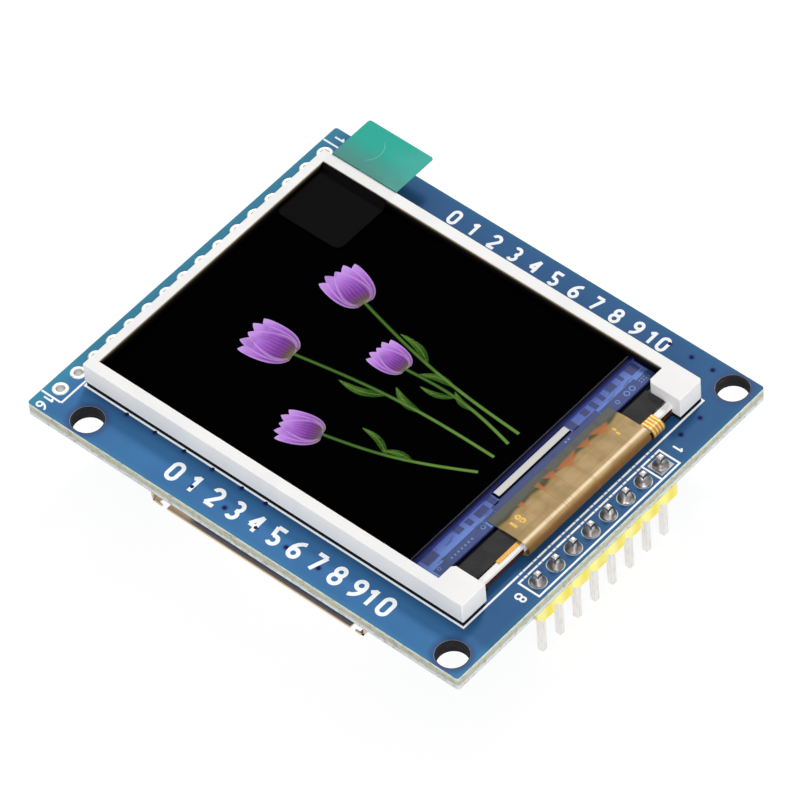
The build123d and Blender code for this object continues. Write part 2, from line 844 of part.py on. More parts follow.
# Memory card socket under the board: folded metal shell, plastic base with side rails, spring contacts
socket_x = board_middle + socket_shift_x
socket_front = socket_recess - side_edge
socket_rear = socket_front + socket_depth
socket_foot = -socket_height
with BuildPart() as card_shell:
    with BuildSketch(Plane.XZ.offset(-socket_front)):
        with Locations((socket_x, socket_foot / 2)):
            shell_section = Rectangle(socket_width, socket_height)
        fillet(shell_section.vertices().group_by(Axis.Y)[0], radius=shell_corner_round)
        with Locations((socket_x, socket_foot / 2 + shell_wall)):
            Rectangle(socket_width - 2 * shell_wall, socket_height, mode=Mode.SUBTRACT)
    extrude(amount=-socket_depth)
    with BuildSketch(Plane.XY.offset(socket_foot)):
        for side in (-1, 1):
            slit_x = socket_x + side * (socket_width / 2 - shell_wing_width - shell_slit_width / 2)
            with Locations((slit_x, socket_front + shell_slit_length / 2)):
                Rectangle(shell_slit_width, shell_slit_length)
            notch_width = shell_wing_width - shell_corner_round
            notch_x = socket_x + side * (socket_width / 2 - shell_corner_round - notch_width / 2)
            with Locations((notch_x, socket_front + shell_lip + shell_notch_length / 2)):
                Rectangle(notch_width, shell_notch_length)
            window_x = socket_x + side * socket_width / 4
            with Locations((window_x, socket_front + socket_depth * 0.62)):
                Rectangle(shell_window_width, shell_window_length)
    extrude(amount=shell_wall, mode=Mode.SUBTRACT)
card_shell.part.label = "card_shell"
export_step(card_shell.part, "parts/card_shell.step")

base_width = socket_width - 2 * shell_wall - 2 * base_clearance
base_foot = socket_foot + shell_wall + base_clearance
base_bevel = shell_corner_round - shell_wall
contact_span = base_width - 2 * base_rail_width - 2 * contact_side_margin
contact_xs = [socket_x + contact_span * (step / (contact_count - 1) - 0.5) for step in range(contact_count)]
contact_root = socket_rear - base_rear_depth
with BuildPart() as card_base:
    with BuildSketch(Plane.XZ.offset(-socket_front - base_setback)):
        with Locations((socket_x, base_foot / 2)):
            base_section = Rectangle(base_width, -base_foot)
        chamfer(base_section.vertices().group_by(Axis.Y)[0], length=base_bevel)
    extrude(amount=-(socket_depth - base_setback))
    with BuildSketch(Plane.XY.offset(base_foot)):
        with Locations((socket_x, centred_between(socket_front, socket_rear - base_rear_depth))):
            Rectangle(base_width - 2 * base_rail_width, socket_depth - base_rear_depth)
    extrude(amount=-base_foot - base_deck_thickness, mode=Mode.SUBTRACT)
    with BuildSketch(Plane.XY.offset(-base_deck_thickness)):
        with Locations((socket_x, socket_front + base_deck_setback / 2)):
            Rectangle(base_width - 2 * base_rail_width, base_deck_setback)
    extrude(amount=base_deck_thickness, mode=Mode.SUBTRACT)
    slot_depth = contact_thickness + 2 * base_clearance
    with BuildSketch(Plane.XY.offset(-base_deck_thickness)):
        for contact_x in contact_xs:
            with Locations((contact_x, contact_root - contact_reach / 2)):
                Rectangle(contact_width + 2 * base_clearance, contact_reach + 2 * base_clearance)
    extrude(amount=base_deck_thickness, mode=Mode.SUBTRACT)
    with BuildSketch(Plane.XY.offset(-slot_depth)):
        for contact_x in contact_xs:
            with Locations((contact_x, socket_rear - base_rear_depth / 2)):
                Rectangle(contact_width + 2 * base_clearance, base_rear_depth)
    extrude(amount=slot_depth, mode=Mode.SUBTRACT)
card_base.part.label = "card_base"
export_step(card_base.part, "parts/card_base.step")

contact_level = -contact_thickness / 2
with BuildPart() as card_contacts:
    for contact_x in contact_xs:
        with BuildSketch(Plane.YZ.offset(contact_x)):
            with BuildLine():
                FilletPolyline(
                    (socket_rear + contact_tail, contact_level),
                    (contact_root, contact_level),
                    (contact_root - 0.72 * contact_reach, contact_level - contact_dip),
                    (contact_root - 0.95 * contact_reach, contact_level - contact_dip * 0.6),
                    radius=contact_bend_radius,
                )
            trace(line_width=contact_thickness)
        extrude(amount=contact_width / 2, both=True)
card_contacts.part.label = "card_contacts"
export_step(card_contacts.part, "parts/card_contacts.step")


# Small parts soldered to the lower face, clear of the card socket
def lower_row(count, middle_x, row_y):
    return [(middle_x + (step - (count - 1) / 2) * chip_part_pitch, row_y) for step in range(count)]


parts_row_y = centred_between(socket_rear + contact_tail, side_edge)
resistor_x = socket_x + (parts_gap + resistor_count * chip_part_pitch) / 2
capacitor_x = socket_x - (parts_gap + capacitor_count * chip_part_pitch) / 2
row_sets = (
    ("resistor", lower_row(resistor_count, resistor_x, parts_row_y)),
    ("capacitor", lower_row(capacitor_count, capacitor_x, parts_row_y)),
)
for part_kind, part_points in row_sets:
    with BuildPart() as part_bodies:
        with BuildSketch(Plane.XY):
            with Locations(*part_points):
                Rectangle(chip_part_width, chip_part_length - 2 * chip_cap_length)
        extrude(amount=-chip_part_height)
    part_bodies.part.label = f"{part_kind}_bodies"
    export_step(part_bodies.part, f"parts/{part_kind}_bodies.step")
    with BuildPart() as part_ends:
        with BuildSketch(Plane.XY):
            for side in (-1, 1):
                cap_y = side * (chip_part_length - chip_cap_length) / 2
                with Locations(*[(x, y + cap_y) for x, y in part_points]):
                    Rectangle(chip_part_width, chip_cap_length)
        extrude(amount=-chip_part_height)
    part_ends.part.label = f"{part_kind}_ends"
    export_step(part_ends.part, f"parts/{part_kind}_ends.step")

# Three-lead packages beyond the two rows: name, middle in X, length, width, height
regulator_x = capacitor_x - capacitor_count * chip_part_pitch / 2 - package_gap - regulator_length / 2
transistor_x = resistor_x + resistor_count * chip_part_pitch / 2 + package_gap + transistor_length / 2
lead_packages = (
    ("regulator", regulator_x, regulator_length, regulator_width, regulator_height),
    ("transistor", transistor_x, transistor_length, transistor_width, transistor_height),
)
for package_name, package_x, package_length, package_width, package_height in lead_packages:
    with BuildPart() as package_case:
        with BuildSketch(Plane.XY.offset(-lead_thickness)):
            with Locations((package_x, parts_row_y)):
                Rectangle(package_length, package_width)
        extrude(amount=lead_thickness - package_height, taper=package_taper)
    package_case.part.label = f"{package_name}_case"
    export_step(package_case.part, f"parts/{package_name}_case.step")
    with BuildPart() as package_leads:
        with BuildSketch(Plane.XY):
            lead_length = package_width / 2 + lead_reach
            for step in (-1, 0, 1):
                side = 1 if step == 0 else -1
                lead_x = package_x + step * package_length / 3
                with Locations((lead_x, parts_row_y + side * lead_length / 2)):
                    Rectangle(lead_width, lead_length)
        extrude(amount=-lead_thickness)
    package_leads.part.label = f"{package_name}_leads"
    export_step(package_leads.part, f"parts/{package_name}_leads.step")


# Legend ink of the lower side
with BuildPart() as legend_bottom:
    with BuildSketch(Plane.XY):
        lower_boxes = [
            (point, chip_part_width + 2 * box_margin, chip_part_length + 2 * box_margin)
            for part_kind, part_points in row_sets
            for point in part_points
        ]
        housing_box_width = housing_depth + 2 * (housing_margin + ink_line)
        housing_box_length = header_count * pitch + 2 * (housing_margin + ink_line)
        lower_boxes.append(((header_x, 0), housing_box_width, housing_box_length))
        for (box_x, box_y), box_width, box_length in lower_boxes:
            with Locations((box_x, box_y)):
                Rectangle(box_width, box_length)
                Rectangle(box_width - 2 * ink_line, box_length - 2 * ink_line, mode=Mode.SUBTRACT)
    extrude(amount=-ink_thickness)
legend_bottom.part.label = "legend_bottom"
export_step(legend_bottom.part, "parts/legend_bottom.step")
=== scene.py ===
import json
import math

import bmesh
import bpy
from mathutils import Matrix, Vector, noise


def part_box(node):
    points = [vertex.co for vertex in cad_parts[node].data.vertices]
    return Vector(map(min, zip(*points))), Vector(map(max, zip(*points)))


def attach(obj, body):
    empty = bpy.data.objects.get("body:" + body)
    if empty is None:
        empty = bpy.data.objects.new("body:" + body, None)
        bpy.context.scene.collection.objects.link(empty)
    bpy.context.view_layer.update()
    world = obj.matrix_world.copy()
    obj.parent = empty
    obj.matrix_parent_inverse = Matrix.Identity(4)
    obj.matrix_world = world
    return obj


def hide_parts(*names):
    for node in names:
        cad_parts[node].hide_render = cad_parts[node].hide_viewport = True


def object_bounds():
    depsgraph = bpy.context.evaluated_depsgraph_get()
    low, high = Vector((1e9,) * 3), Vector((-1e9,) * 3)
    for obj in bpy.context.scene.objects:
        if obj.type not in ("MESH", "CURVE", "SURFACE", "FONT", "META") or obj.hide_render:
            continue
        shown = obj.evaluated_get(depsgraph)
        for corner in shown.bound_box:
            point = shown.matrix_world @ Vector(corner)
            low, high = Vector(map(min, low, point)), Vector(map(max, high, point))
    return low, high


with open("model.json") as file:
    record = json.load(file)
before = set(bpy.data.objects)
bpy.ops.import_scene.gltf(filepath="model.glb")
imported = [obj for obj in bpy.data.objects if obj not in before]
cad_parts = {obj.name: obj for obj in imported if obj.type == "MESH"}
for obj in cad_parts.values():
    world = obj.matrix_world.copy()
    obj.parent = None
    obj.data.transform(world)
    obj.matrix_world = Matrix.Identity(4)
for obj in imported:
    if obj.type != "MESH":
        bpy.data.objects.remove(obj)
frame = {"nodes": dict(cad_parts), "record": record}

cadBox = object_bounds()
mm = 0.001               # shapes are built in millimetres and brought to metres when they are placed
nodes = frame["nodes"]
scene = bpy.context.scene


def nodeBox(name):                      # a CAD node's lowest and highest corner, in millimetres
    low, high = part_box(name)
    return low / mm, high / mm


def paint(red, green, blue):            # a colour as a picture shows it, 0 to 255, made linear
    shares = [channel / 255 for channel in (red, green, blue)]
    return (*[((s + 0.055) / 1.055) ** 2.4 if s > 0.04 else s / 12.92 for s in shares], 1.0)


# Materials: a value is a socket that adds and multiplies like a number, a finish is one material
class Value:
    def __init__(self, finish, socket):
        self.finish, self.socket = finish, socket

    def maths(self, operation, first, second=0.0):
        return self.finish.node("Math", {"operation": operation}, {0: first, 1: second})

    def __add__(self, other):
        return self.maths("ADD", self, other)

    def __sub__(self, other):
        return self.maths("SUBTRACT", self, other)

    def __rsub__(self, other):
        return self.maths("SUBTRACT", other, self)

    def __mul__(self, other):
        return self.maths("MULTIPLY", self, other)

    def __truediv__(self, other):
        return self.maths("DIVIDE", self, other)

    def __mod__(self, other):
        return self.maths("FLOORED_MODULO", self, other)

    def __or__(self, other):
        return self.maths("MAXIMUM", self, other)

    def __abs__(self):
        return self.maths("ABSOLUTE", self)

    __radd__ = __add__
    __rmul__ = __mul__
    __ror__ = __or__


class Finish:
    def __init__(self, name, gloss=0.5, constants=None):
        self.material = bpy.data.materials.new(name)
        self.material.use_nodes = True
        self.tree = self.material.node_tree
        self.shader = self.tree.nodes["Principled BSDF"]
        for socket, value in {"Specular IOR Level": gloss, **(constants or {})}.items():
            self.shader.inputs[socket].default_value = value
        spot = self.node("TexCoord", {}, {}, "Object")
        self.spot = self.node("VectorMath", {"operation": "SCALE"}, {"Vector": spot, "Scale": 1 / mm})
        axes = self.node("SeparateXYZ", {}, {0: self.spot})
        self.x, self.y, self.z = [Value(self, axes.socket.node.outputs[i]) for i in range(3)]

    def node(self, kind, settings, values, output=0):
        made = self.tree.nodes.new("ShaderNode" + kind)
        for setting, choice in settings.items():
            if setting == "stops":
                stops = made.color_ramp.elements
                for number, (place, colour) in enumerate(choice):
                    stop = stops[number] if number < 2 else stops.new(place)
                    stop.position, stop.color = place, colour
            else:
                setattr(made, setting, choice)
        for socket, value in values.items():
            if isinstance(value, Value):
                self.tree.links.new(value.socket, made.inputs[socket])
            else:
                made.inputs[socket].default_value = value
        return Value(self, made.outputs[output])

    def grain(self, scale, detail=2.0, stretch=(1, 1, 1), roughness=0.5):      # noise, scale per mm
        place = self.node("VectorMath", {"operation": "MULTIPLY"}, {0: self.spot, 1: stretch})
        return self.node(
            "TexNoise", {}, {"Vector": place, "Scale": scale, "Detail": detail, "Roughness": roughness}
        )

    def fade(self, value, start, end):  # 0 before start, 1 after end, smooth between them
        return self.node("MapRange", {"interpolation_type": "SMOOTHSTEP"}, {0: value, 1: start, 2: end})

    def span(self, value, rise, full, drop, gone):      # 1 from full to drop, 0 before rise and past gone
        return self.fade(value, rise, full) * (1 - self.fade(value, drop, gone))

    def mixed(self, first, second, share):
        return self.node("Mix", {"data_type": "RGBA"}, {0: share, 6: first, 7: second}, 2)

    def ramp(self, value, stops):
        return self.node("ValToRGB", {"stops": stops}, {0: value})

    def near(self, value, middle, half, soft=0.03):     # 1 within half of the middle
        return 1 - self.fade(abs(value - middle), half - soft, half + soft)

    def stripes(self, value, pitch, half, soft=0.03):   # 1 on lines a pitch apart
        return self.near(value % pitch, pitch / 2, half, soft)

    def reach(self, x, y):              # distance from an upright axis
        across, along = self.x - x, self.y - y
        return self.node("Math", {"operation": "SQRT"}, {0: across * across + along * along})

    def inSpots(self, places, radius, soft=0.04):       # 1 inside a circle round any of the places
        inside = 0.0
        for x, y in places:
            inside = (1 - self.fade(self.reach(x, y), radius - soft, radius + soft)) | inside
        return inside

    def use(self, colour, roughness, height=None, depth=0.01, strength=1.0, others=None):
        channels = {"Base Color": colour, "Roughness": roughness, **(others or {})}
        for socket, value in channels.items():
            if isinstance(value, Value):
                self.tree.links.new(value.socket, self.shader.inputs[socket])
            else:
                self.shader.inputs[socket].default_value = value
        if height is not None:
            bump = self.node("Bump", {}, {"Strength": strength, "Distance": depth * mm, "Height": height})
            self.tree.links.new(bump.socket, self.shader.inputs["Normal"])
        return self


print("frame read, materials next")

# Places on the board: the finishes use them all, the pieces some
mountHole = {
    "places": [(x, y) for x in (-22.75, 22.75) for y in (-20.32, 20.32)], "radius": 1.6, "halo": 0.55,
}
vias = {
    "radius": 0.2, "height": 0.008, "edge": 0.01, "segments": 20, "halo": 0.34,
    "upper": [(14.55, 20.9), (17.25, 20.9), (19.85, 20.9), (22.65, 15.6), (22.55, 12.9)]
    + [(x, -17.5) for x in (-20.25, -16.65, -12.95, -9.35, -5.65, -2.65)]
    + [(x, -20.3) for x in (-9.45, -5.35, -1.45, 2.35, 6.35)],
}
headerLook = {"count": 8, "pitch": 2.54, "housingEdge": 0.12, "pinEdge": 0.05}
lineNicks = {"pitch": 2.04, "half": 0.27, "width": 0.07, "end": 10.0}   # breaks in the header's double line
lowerTracks = {"pitch": 2.6, "first": 13.9, "last": 26.85, "half": 0.14, "elbow": 20.4, "headerEnd": 7.0}


def maskFinish():
    f = Finish("blueMask", 0.1, {"IOR": 1.5})
    low, high = nodeBox("mask_top")
    middle, reach = (low + high) / 2, (high - low) / 2
    rowEnd = 1 - f.fade(f.x, low.x + 0.3, low.x + 2.2)      # no copper under the last strips
    headerEnd = f.fade(f.x, high.x - 0.8, high.x - 0.1)
    sides = f.fade(abs(f.y - middle.y), reach.y - 0.7, reach.y - 0.1)
    cloud, weave = f.grain(0.16, 2.0), f.grain(2.2, 3.0, (1, 1, 0.2))
    over = f.mixed(paint(54, 108, 160), paint(62, 120, 173), f.fade(cloud, 0.3, 0.7))
    over = f.mixed(over, paint(58, 113, 166), weave)
    colour = f.mixed(over, paint(60, 148, 172), (rowEnd * 0.7 | headerEnd * 0.35 | sides * 0.2))
    upper = f.fade(f.z, 0.6, 1.0)
    (trayLow, trayHigh), (foldLow, foldHigh) = nodeBox("backlight_frame"), nodeBox("main_flex")
    # painted shade: the mask is darkened in front of the frame's long side and beside the flex fold, where
    # their shadows fall
    front = f.fade(f.y, trayLow.y - 1.5, trayLow.y + 0.2) * f.fade(f.x, trayLow.x, trayLow.x + 2)
    beside = f.span(f.x, trayHigh.x - 1, trayHigh.x - 0.6, foldHigh.x - 0.2, foldHigh.x + 0.9)
    beside = beside * f.span(f.y, foldLow.y - 0.6, foldLow.y, foldHigh.y, foldHigh.y + 0.6)
    colour = f.mixed(colour, paint(26, 58, 100), (front * 0.45 | beside * 0.6) * upper)     # deep shade
    rings = f.inSpots(mountHole["places"], mountHole["radius"] + mountHole["halo"], 0.4)
    colour = f.mixed(colour, paint(58, 82, 132), rings * 0.8)
    dots = f.inSpots(vias["upper"], vias["halo"], 0.16)
    colour = f.mixed(colour, paint(36, 54, 112), dots * upper * 0.8)
    first, last, elbow, half = (lowerTracks[name] for name in ("first", "last", "elbow", "half"))
    slope = f.x + f.y                   # the same all along one slanted track
    slant = f.stripes(slope - first + lowerTracks["pitch"] / 2, lowerTracks["pitch"], half)
    slant = slant * f.span(slope, first - 0.5, first - 0.4, last + 0.4, last + 0.5)
    slant = slant * (1 - f.fade(f.x, elbow, elbow + 0.1))
    level = f.stripes(f.y, headerLook["pitch"], half) * f.near(f.y, 0, lowerTracks["headerEnd"])
    level = level * f.fade(f.x, elbow - 0.1, elbow)
    tracks = (slant | level) * (1 - f.fade(f.z, 0.3, 0.6))
    colour = f.mixed(colour, paint(84, 138, 188), tracks * 0.6)
    return f.use(colour, 0.36 + weave * 0.14, weave * 0.3 + tracks, 0.008, 0.5)


def laminateFinish():
    f = Finish("laminateEdge", 0.08)
    low, high = nodeBox("board")
    height = (f.z - low.z) / (high.z - low.z)
    streaks = f.grain(1.3, 4.0, (0.5, 0.5, 4.0), 0.65)
    fine, speck = f.grain(4.0, 3.0, (1, 1, 2)), f.grain(1.6, 3.0, (1, 1, 2.5), 0.7)
    layers = f.ramp(height + (streaks - 0.5) * 0.3, [
        (0.0, paint(232, 238, 242)), (0.2, paint(222, 228, 224)), (0.42, paint(190, 190, 174)),
        (0.66, paint(194, 196, 174)), (0.86, paint(216, 222, 204)), (1.0, paint(232, 238, 232)),
    ])
    colour = f.mixed(layers, paint(128, 124, 106), f.fade(speck, 0.5, 0.68) * 0.65)
    colour = f.mixed(colour, paint(246, 248, 250), f.fade(fine, 0.6, 0.75) * 0.5)
    # painted shade: the walls of the mounting holes are dark grey, with streaks of their own olive
    drilled = f.inSpots(mountHole["places"], mountHole["radius"] + 0.1)
    shadedBore = f.mixed(paint(36, 36, 40), paint(70, 72, 66), f.fade(streaks, 0.45, 0.85))
    colour = f.mixed(colour, shadedBore, drilled)
    return f.use(colour, 0.6 + fine * 0.25, streaks, 0.03, 0.6)


def inkFinish():
    f = Finish("legendInk", 0.04, {"Emission Strength": 0.42})
    speck, gaps = f.grain(6.0, 3.0), f.grain(1.1, 2.0, (1, 1, 0.1))
    frameEnd = nodeBox("backlight_frame")[1].x
    colour = f.mixed(paint(252, 254, 255), paint(228, 238, 248), f.fade(speck, 0.55, 0.85))
    colour = f.mixed(colour, paint(130, 166, 204), f.fade(gaps, 0.7, 0.78) * 0.5)
    aside = abs(f.y % lineNicks["pitch"] - lineNicks["pitch"] / 2)
    nicks = f.near(aside, lineNicks["half"], lineNicks["width"], 0.04)
    nicks = nicks * f.near(f.x, frameEnd + 0.3, 0.5) * f.near(f.y, 0, lineNicks["end"])
    colour = f.mixed(colour, paint(84, 122, 172), nicks * 0.75)
    duller = f.mixed(paint(0, 0, 0), colour, 0.6)      # painted light: the rest of its white is a glow, which keeps the ink white in shade
    return f.use(duller, 0.5 + speck * 0.2, speck, 0.01, 0.4, {"Emission Color": colour})


def tinFinish():
    f = Finish("tinnedCopper", constants={"Metallic": 1.0})
    cloud, speck = f.grain(1.6, 3.0), f.grain(9.0, 2.0)
    colour = f.mixed(paint(243, 243, 241), paint(226, 226, 224), f.fade(cloud, 0.5, 0.8))
    # painted shade: the tin is slightly darker inside a plated hole
    colour = f.mixed(colour, paint(206, 206, 204), f.near(f.z, 0.8, 0.6, 0.08))     # inside a plated hole
    return f.use(colour, 0.2 + speck * 0.16, cloud, 0.01, 0.3)


def pinFinish():
    f = Finish("pinMetal", constants={"Metallic": 1.0})
    drawn = f.grain(3.0, 3.0, (4, 4, 0.3))
    colour = f.mixed(paint(240, 238, 233), paint(212, 208, 201), f.fade(drawn, 0.4, 0.8))
    low, high = nodeBox("header_pins")
    # solder-wetted stub, greyer than the bare pin, with a painted highlight towards its tip and painted shade
    # on its +x face
    wettedAndShaded = f.mixed(paint(146, 142, 140), paint(200, 196, 194), f.fade(f.z, high.z - 0.9, high.z - 0.1))
    wettedAndShaded = f.mixed(wettedAndShaded, paint(92, 88, 87), f.fade(f.x, (low.x + high.x) / 2 + 0.28, high.x - 0.02))
    colour = f.mixed(colour, wettedAndShaded, f.fade(f.z, 1.0, 1.1))
    return f.use(colour, 0.26 + drawn * 0.16, drawn, 0.01, 0.5)


def solderFinish():
    f = Finish("solder", constants={"Metallic": 1.0})
    patch, speck = f.grain(1.5, 3.0), f.grain(6.0, 2.0)
    land = nodeBox("header_eyelets")[1].z
    # painted highlight and shade: lighter at the foot and towards the top of each joint, darker low on the
    # cone
    colour = f.ramp((f.z - land) / 0.9 + (patch - 0.5) * 0.9, [
        (0.0, paint(180, 176, 174)), (0.2, paint(126, 121, 120)), (0.45, paint(134, 129, 127)),
        (0.7, paint(162, 157, 155)), (1.0, paint(198, 195, 193)),
    ])
    bare = f.mixed(paint(104, 100, 99), paint(150, 146, 144), patch)
    colour = f.mixed(colour, bare, f.near(f.z, land, 0.006, 0.006))
    return f.use(colour, 0.32 + speck * 0.2, patch, 0.06, 0.5)


def housingFinish():
    f = Finish("yellowHousing", 0.15)
    cloud, fine = f.grain(0.9, 2.0), f.grain(8.0, 2.0)
    joint = f.stripes(f.y, headerLook["pitch"], 0.42, 0.3)
    colour = f.mixed(paint(252, 243, 148), paint(251, 234, 92), joint)
    colour = f.mixed(colour, paint(250, 244, 178), f.fade(cloud, 0.45, 0.8) * 0.6)
    return f.use(colour, 0.42 + fine * 0.15, fine, 0.01, 0.4)


def plasticFinish(name, light, dark, roughness=0.45, scale=0.35, gloss=0.08):
    f = Finish(name, gloss)
    cloud, fine = f.grain(scale, 2.0), f.grain(9.0, 3.0)
    colour = f.mixed(light, dark, f.fade(cloud, 0.35, 0.75))
    return f.use(colour, roughness + (fine - 0.5) * 0.2, fine, 0.008, 0.4)


def frameFinish():                      # white moulding; the walls round the screen are painted darker with depth, as painted shade
    f = Finish("frameWhite", 0.12)
    high = nodeBox("backlight_frame")[1]
    glassLow, glassHigh = nodeBox("tft_glass")
    middleY, half = (glassLow.y + glassHigh.y) / 2, (glassHigh.y - glassLow.y) / 2
    cloud, fine = f.grain(0.25, 2.0), f.grain(9.0, 3.0)
    white = f.mixed(paint(251, 250, 248), paint(246, 245, 245), f.fade(cloud, 0.35, 0.75))
    beside = 1 - f.fade(abs(f.y - middleY), half + 0.1, half + 0.14)
    shadedWindow = beside * f.span(f.x, glassLow.x - 0.14, glassLow.x - 0.1, glassHigh.x + 0.6, glassHigh.x + 0.66)
    # painted shade: darker down the walls round the screen
    depth = f.ramp((high.z - f.z) / 0.8, [
        (0.0, paint(246, 243, 236)), (0.16, paint(196, 184, 156)),
        (0.4, paint(74, 64, 48)), (0.8, paint(8, 8, 8)),
    ])
    colour = f.mixed(white, depth, shadedWindow)
    return f.use(colour, 0.42 + (fine - 0.5) * 0.16, fine, 0.006, 0.35)


def foamFinish():
    # near-black foam, its own dark colour, which also stands in for the shade under the frame
    f = Finish("foamTape", 0.02)
    cells = f.node("TexVoronoi", {}, {"Vector": f.spot, "Scale": 5.0})
    colour = f.mixed(paint(14, 14, 16), paint(34, 34, 36), cells)
    return f.use(colour, 0.85 + cells * 0.1, cells, 0.05, 0.8)


def filmFinish(name, light, dark, metallic, roughness):
    f = Finish(name, 0.3, {"Metallic": metallic})
    cloud, lines = f.grain(0.5, 3.0), f.grain(2.0, 2.0, (1, 8, 1))
    colour = f.mixed(light, dark, cloud)
    return f.use(colour, roughness + lines * 0.12, lines, 0.006, 0.4)


def polariserFinish():
    f = Finish("blackPolariser", 0.004, {"IOR": 1.45})
    high = nodeBox("front_polariser")[1]
    cloud, fine = f.grain(0.12, 2.0), f.grain(12.0, 2.0)
    colour = f.mixed(paint(0, 0, 0), paint(1, 1, 2), cloud)
    # painted highlight along the polariser's cut edge
    colour = f.mixed(colour, paint(66, 68, 92), f.fade(f.x, high.x - 0.05, high.x - 0.005))
    return f.use(colour, 0.12 + fine * 0.05, fine, 0.002, 0.2)


def surfaceFilmFinish():
    f = Finish("clearFilm", 0.0, {"IOR": 1.45})
    high = nodeBox("surface_film")[1]
    fine = f.grain(6.0, 3.0)
    # painted highlight: a pale, less clear rim along the film's cut edge
    rim = f.fade(f.x, high.x - 0.1, high.x - 0.01)
    colour = f.mixed(paint(16, 16, 18), paint(92, 94, 116), rim)
    return f.use(colour, 0.14 + fine * 0.08, others={"Alpha": fine * 0.002 + rim * 0.3})


def glassFinish():
    f = Finish("displayGlass", 0.05, {"IOR": 1.5})
    high = nodeBox("filter_glass")[1]
    cloud, fine = f.grain(0.8, 2.0), f.grain(6.0, 2.0)
    colour = f.mixed(paint(70, 84, 158), paint(50, 60, 128), cloud)
    margin = f.mixed(paint(6, 6, 16), paint(26, 30, 88), f.fade(f.x, high.x - 0.34, high.x - 0.02))
    colour = f.mixed(colour, margin, f.fade(f.z, high.z - 0.03, high.z - 0.005))
    return f.use(colour, 0.14 + fine * 0.1)


def ownMap(f):                          # along and across a petal or a leaf, from its own map
    axes = f.node("SeparateXYZ", {}, {0: f.node("TexCoord", {}, {}, "UV")})
    return Value(f, axes.socket.node.outputs[0]), Value(f, axes.socket.node.outputs[1])


def litFinish():
    f = Finish("litPetals", 0.02, {"Emission Strength": 1.0})
    along, across = ownMap(f)
    veins, cloud = f.grain(1.0, 2.0), f.grain(0.5, 2.0)
    streak = f.node("Math", {"operation": "SINE"}, {0: across * 46 + (veins - 0.5) * 3})
    body = f.ramp(along + (veins - 0.5) * 0.12, [
        (0.0, paint(112, 122, 48)), (0.12, paint(104, 76, 84)), (0.3, paint(126, 62, 154)),
        (0.62, paint(170, 104, 206)), (1.0, paint(206, 160, 236)),
    ])
    shade = f.fade(streak, 0.1, 0.95) * (1 - f.fade(along, 0.35, 0.85)) * 0.55
    colour = f.mixed(body, paint(86, 34, 118), shade)
    colour = f.mixed(colour, paint(220, 182, 244), f.fade(abs(across - 0.5), 0.38, 0.5) * 0.5)
    colour = f.mixed(colour, paint(120, 64, 160), f.fade(cloud, 0.5, 0.7) * 0.4)
    return f.use(paint(2, 2, 3), 0.3, others={"Emission Color": colour})


def leafFinish():
    f = Finish("litLeaves", 0.02, {"Emission Strength": 1.0})
    along, across = ownMap(f)
    cloud = f.grain(0.8, 2.0)
    body = f.mixed(paint(52, 90, 28), paint(92, 132, 54), f.fade(along + (cloud - 0.5) * 0.5, 0.2, 0.9))
    colour = f.mixed(body, paint(140, 176, 92), f.near(across, 0.5, 0.04) * 0.7)
    colour = f.mixed(colour, paint(34, 62, 18), f.fade(abs(across - 0.5), 0.3, 0.5) * 0.6)
    return f.use(paint(2, 2, 3), 0.3, others={"Emission Color": colour})


def chipFinish():
    f = Finish("driverDie", 0.12)
    high = nodeBox("driver_chip")[1]
    fine = f.grain(3.0, 3.0, (1, 6, 1))
    top = f.fade(f.z, high.z - 0.02, high.z - 0.008)
    colour = f.mixed(paint(10, 9, 12), f.mixed(paint(221, 219, 214), paint(205, 203, 200), fine), top)
    return f.use(colour, 0.25 + fine * 0.15)


flexCopper = {                          # each fan of copper: its place, half width and length
    "start": nodeBox("tft_glass")[1].x + 0.15, "fold": nodeBox("main_flex")[1].x - 0.9, "pitch": 1.02,
    "fans": [
        (7.6, 1.1, 1.1), (5.25, 0.75, 0.8), (2.55, 1.5, 1.15),
        (0.4, 0.6, 0.75), (-1.3, 0.3, 1.3), (-4.0, 0.35, 0.9),
    ],
}


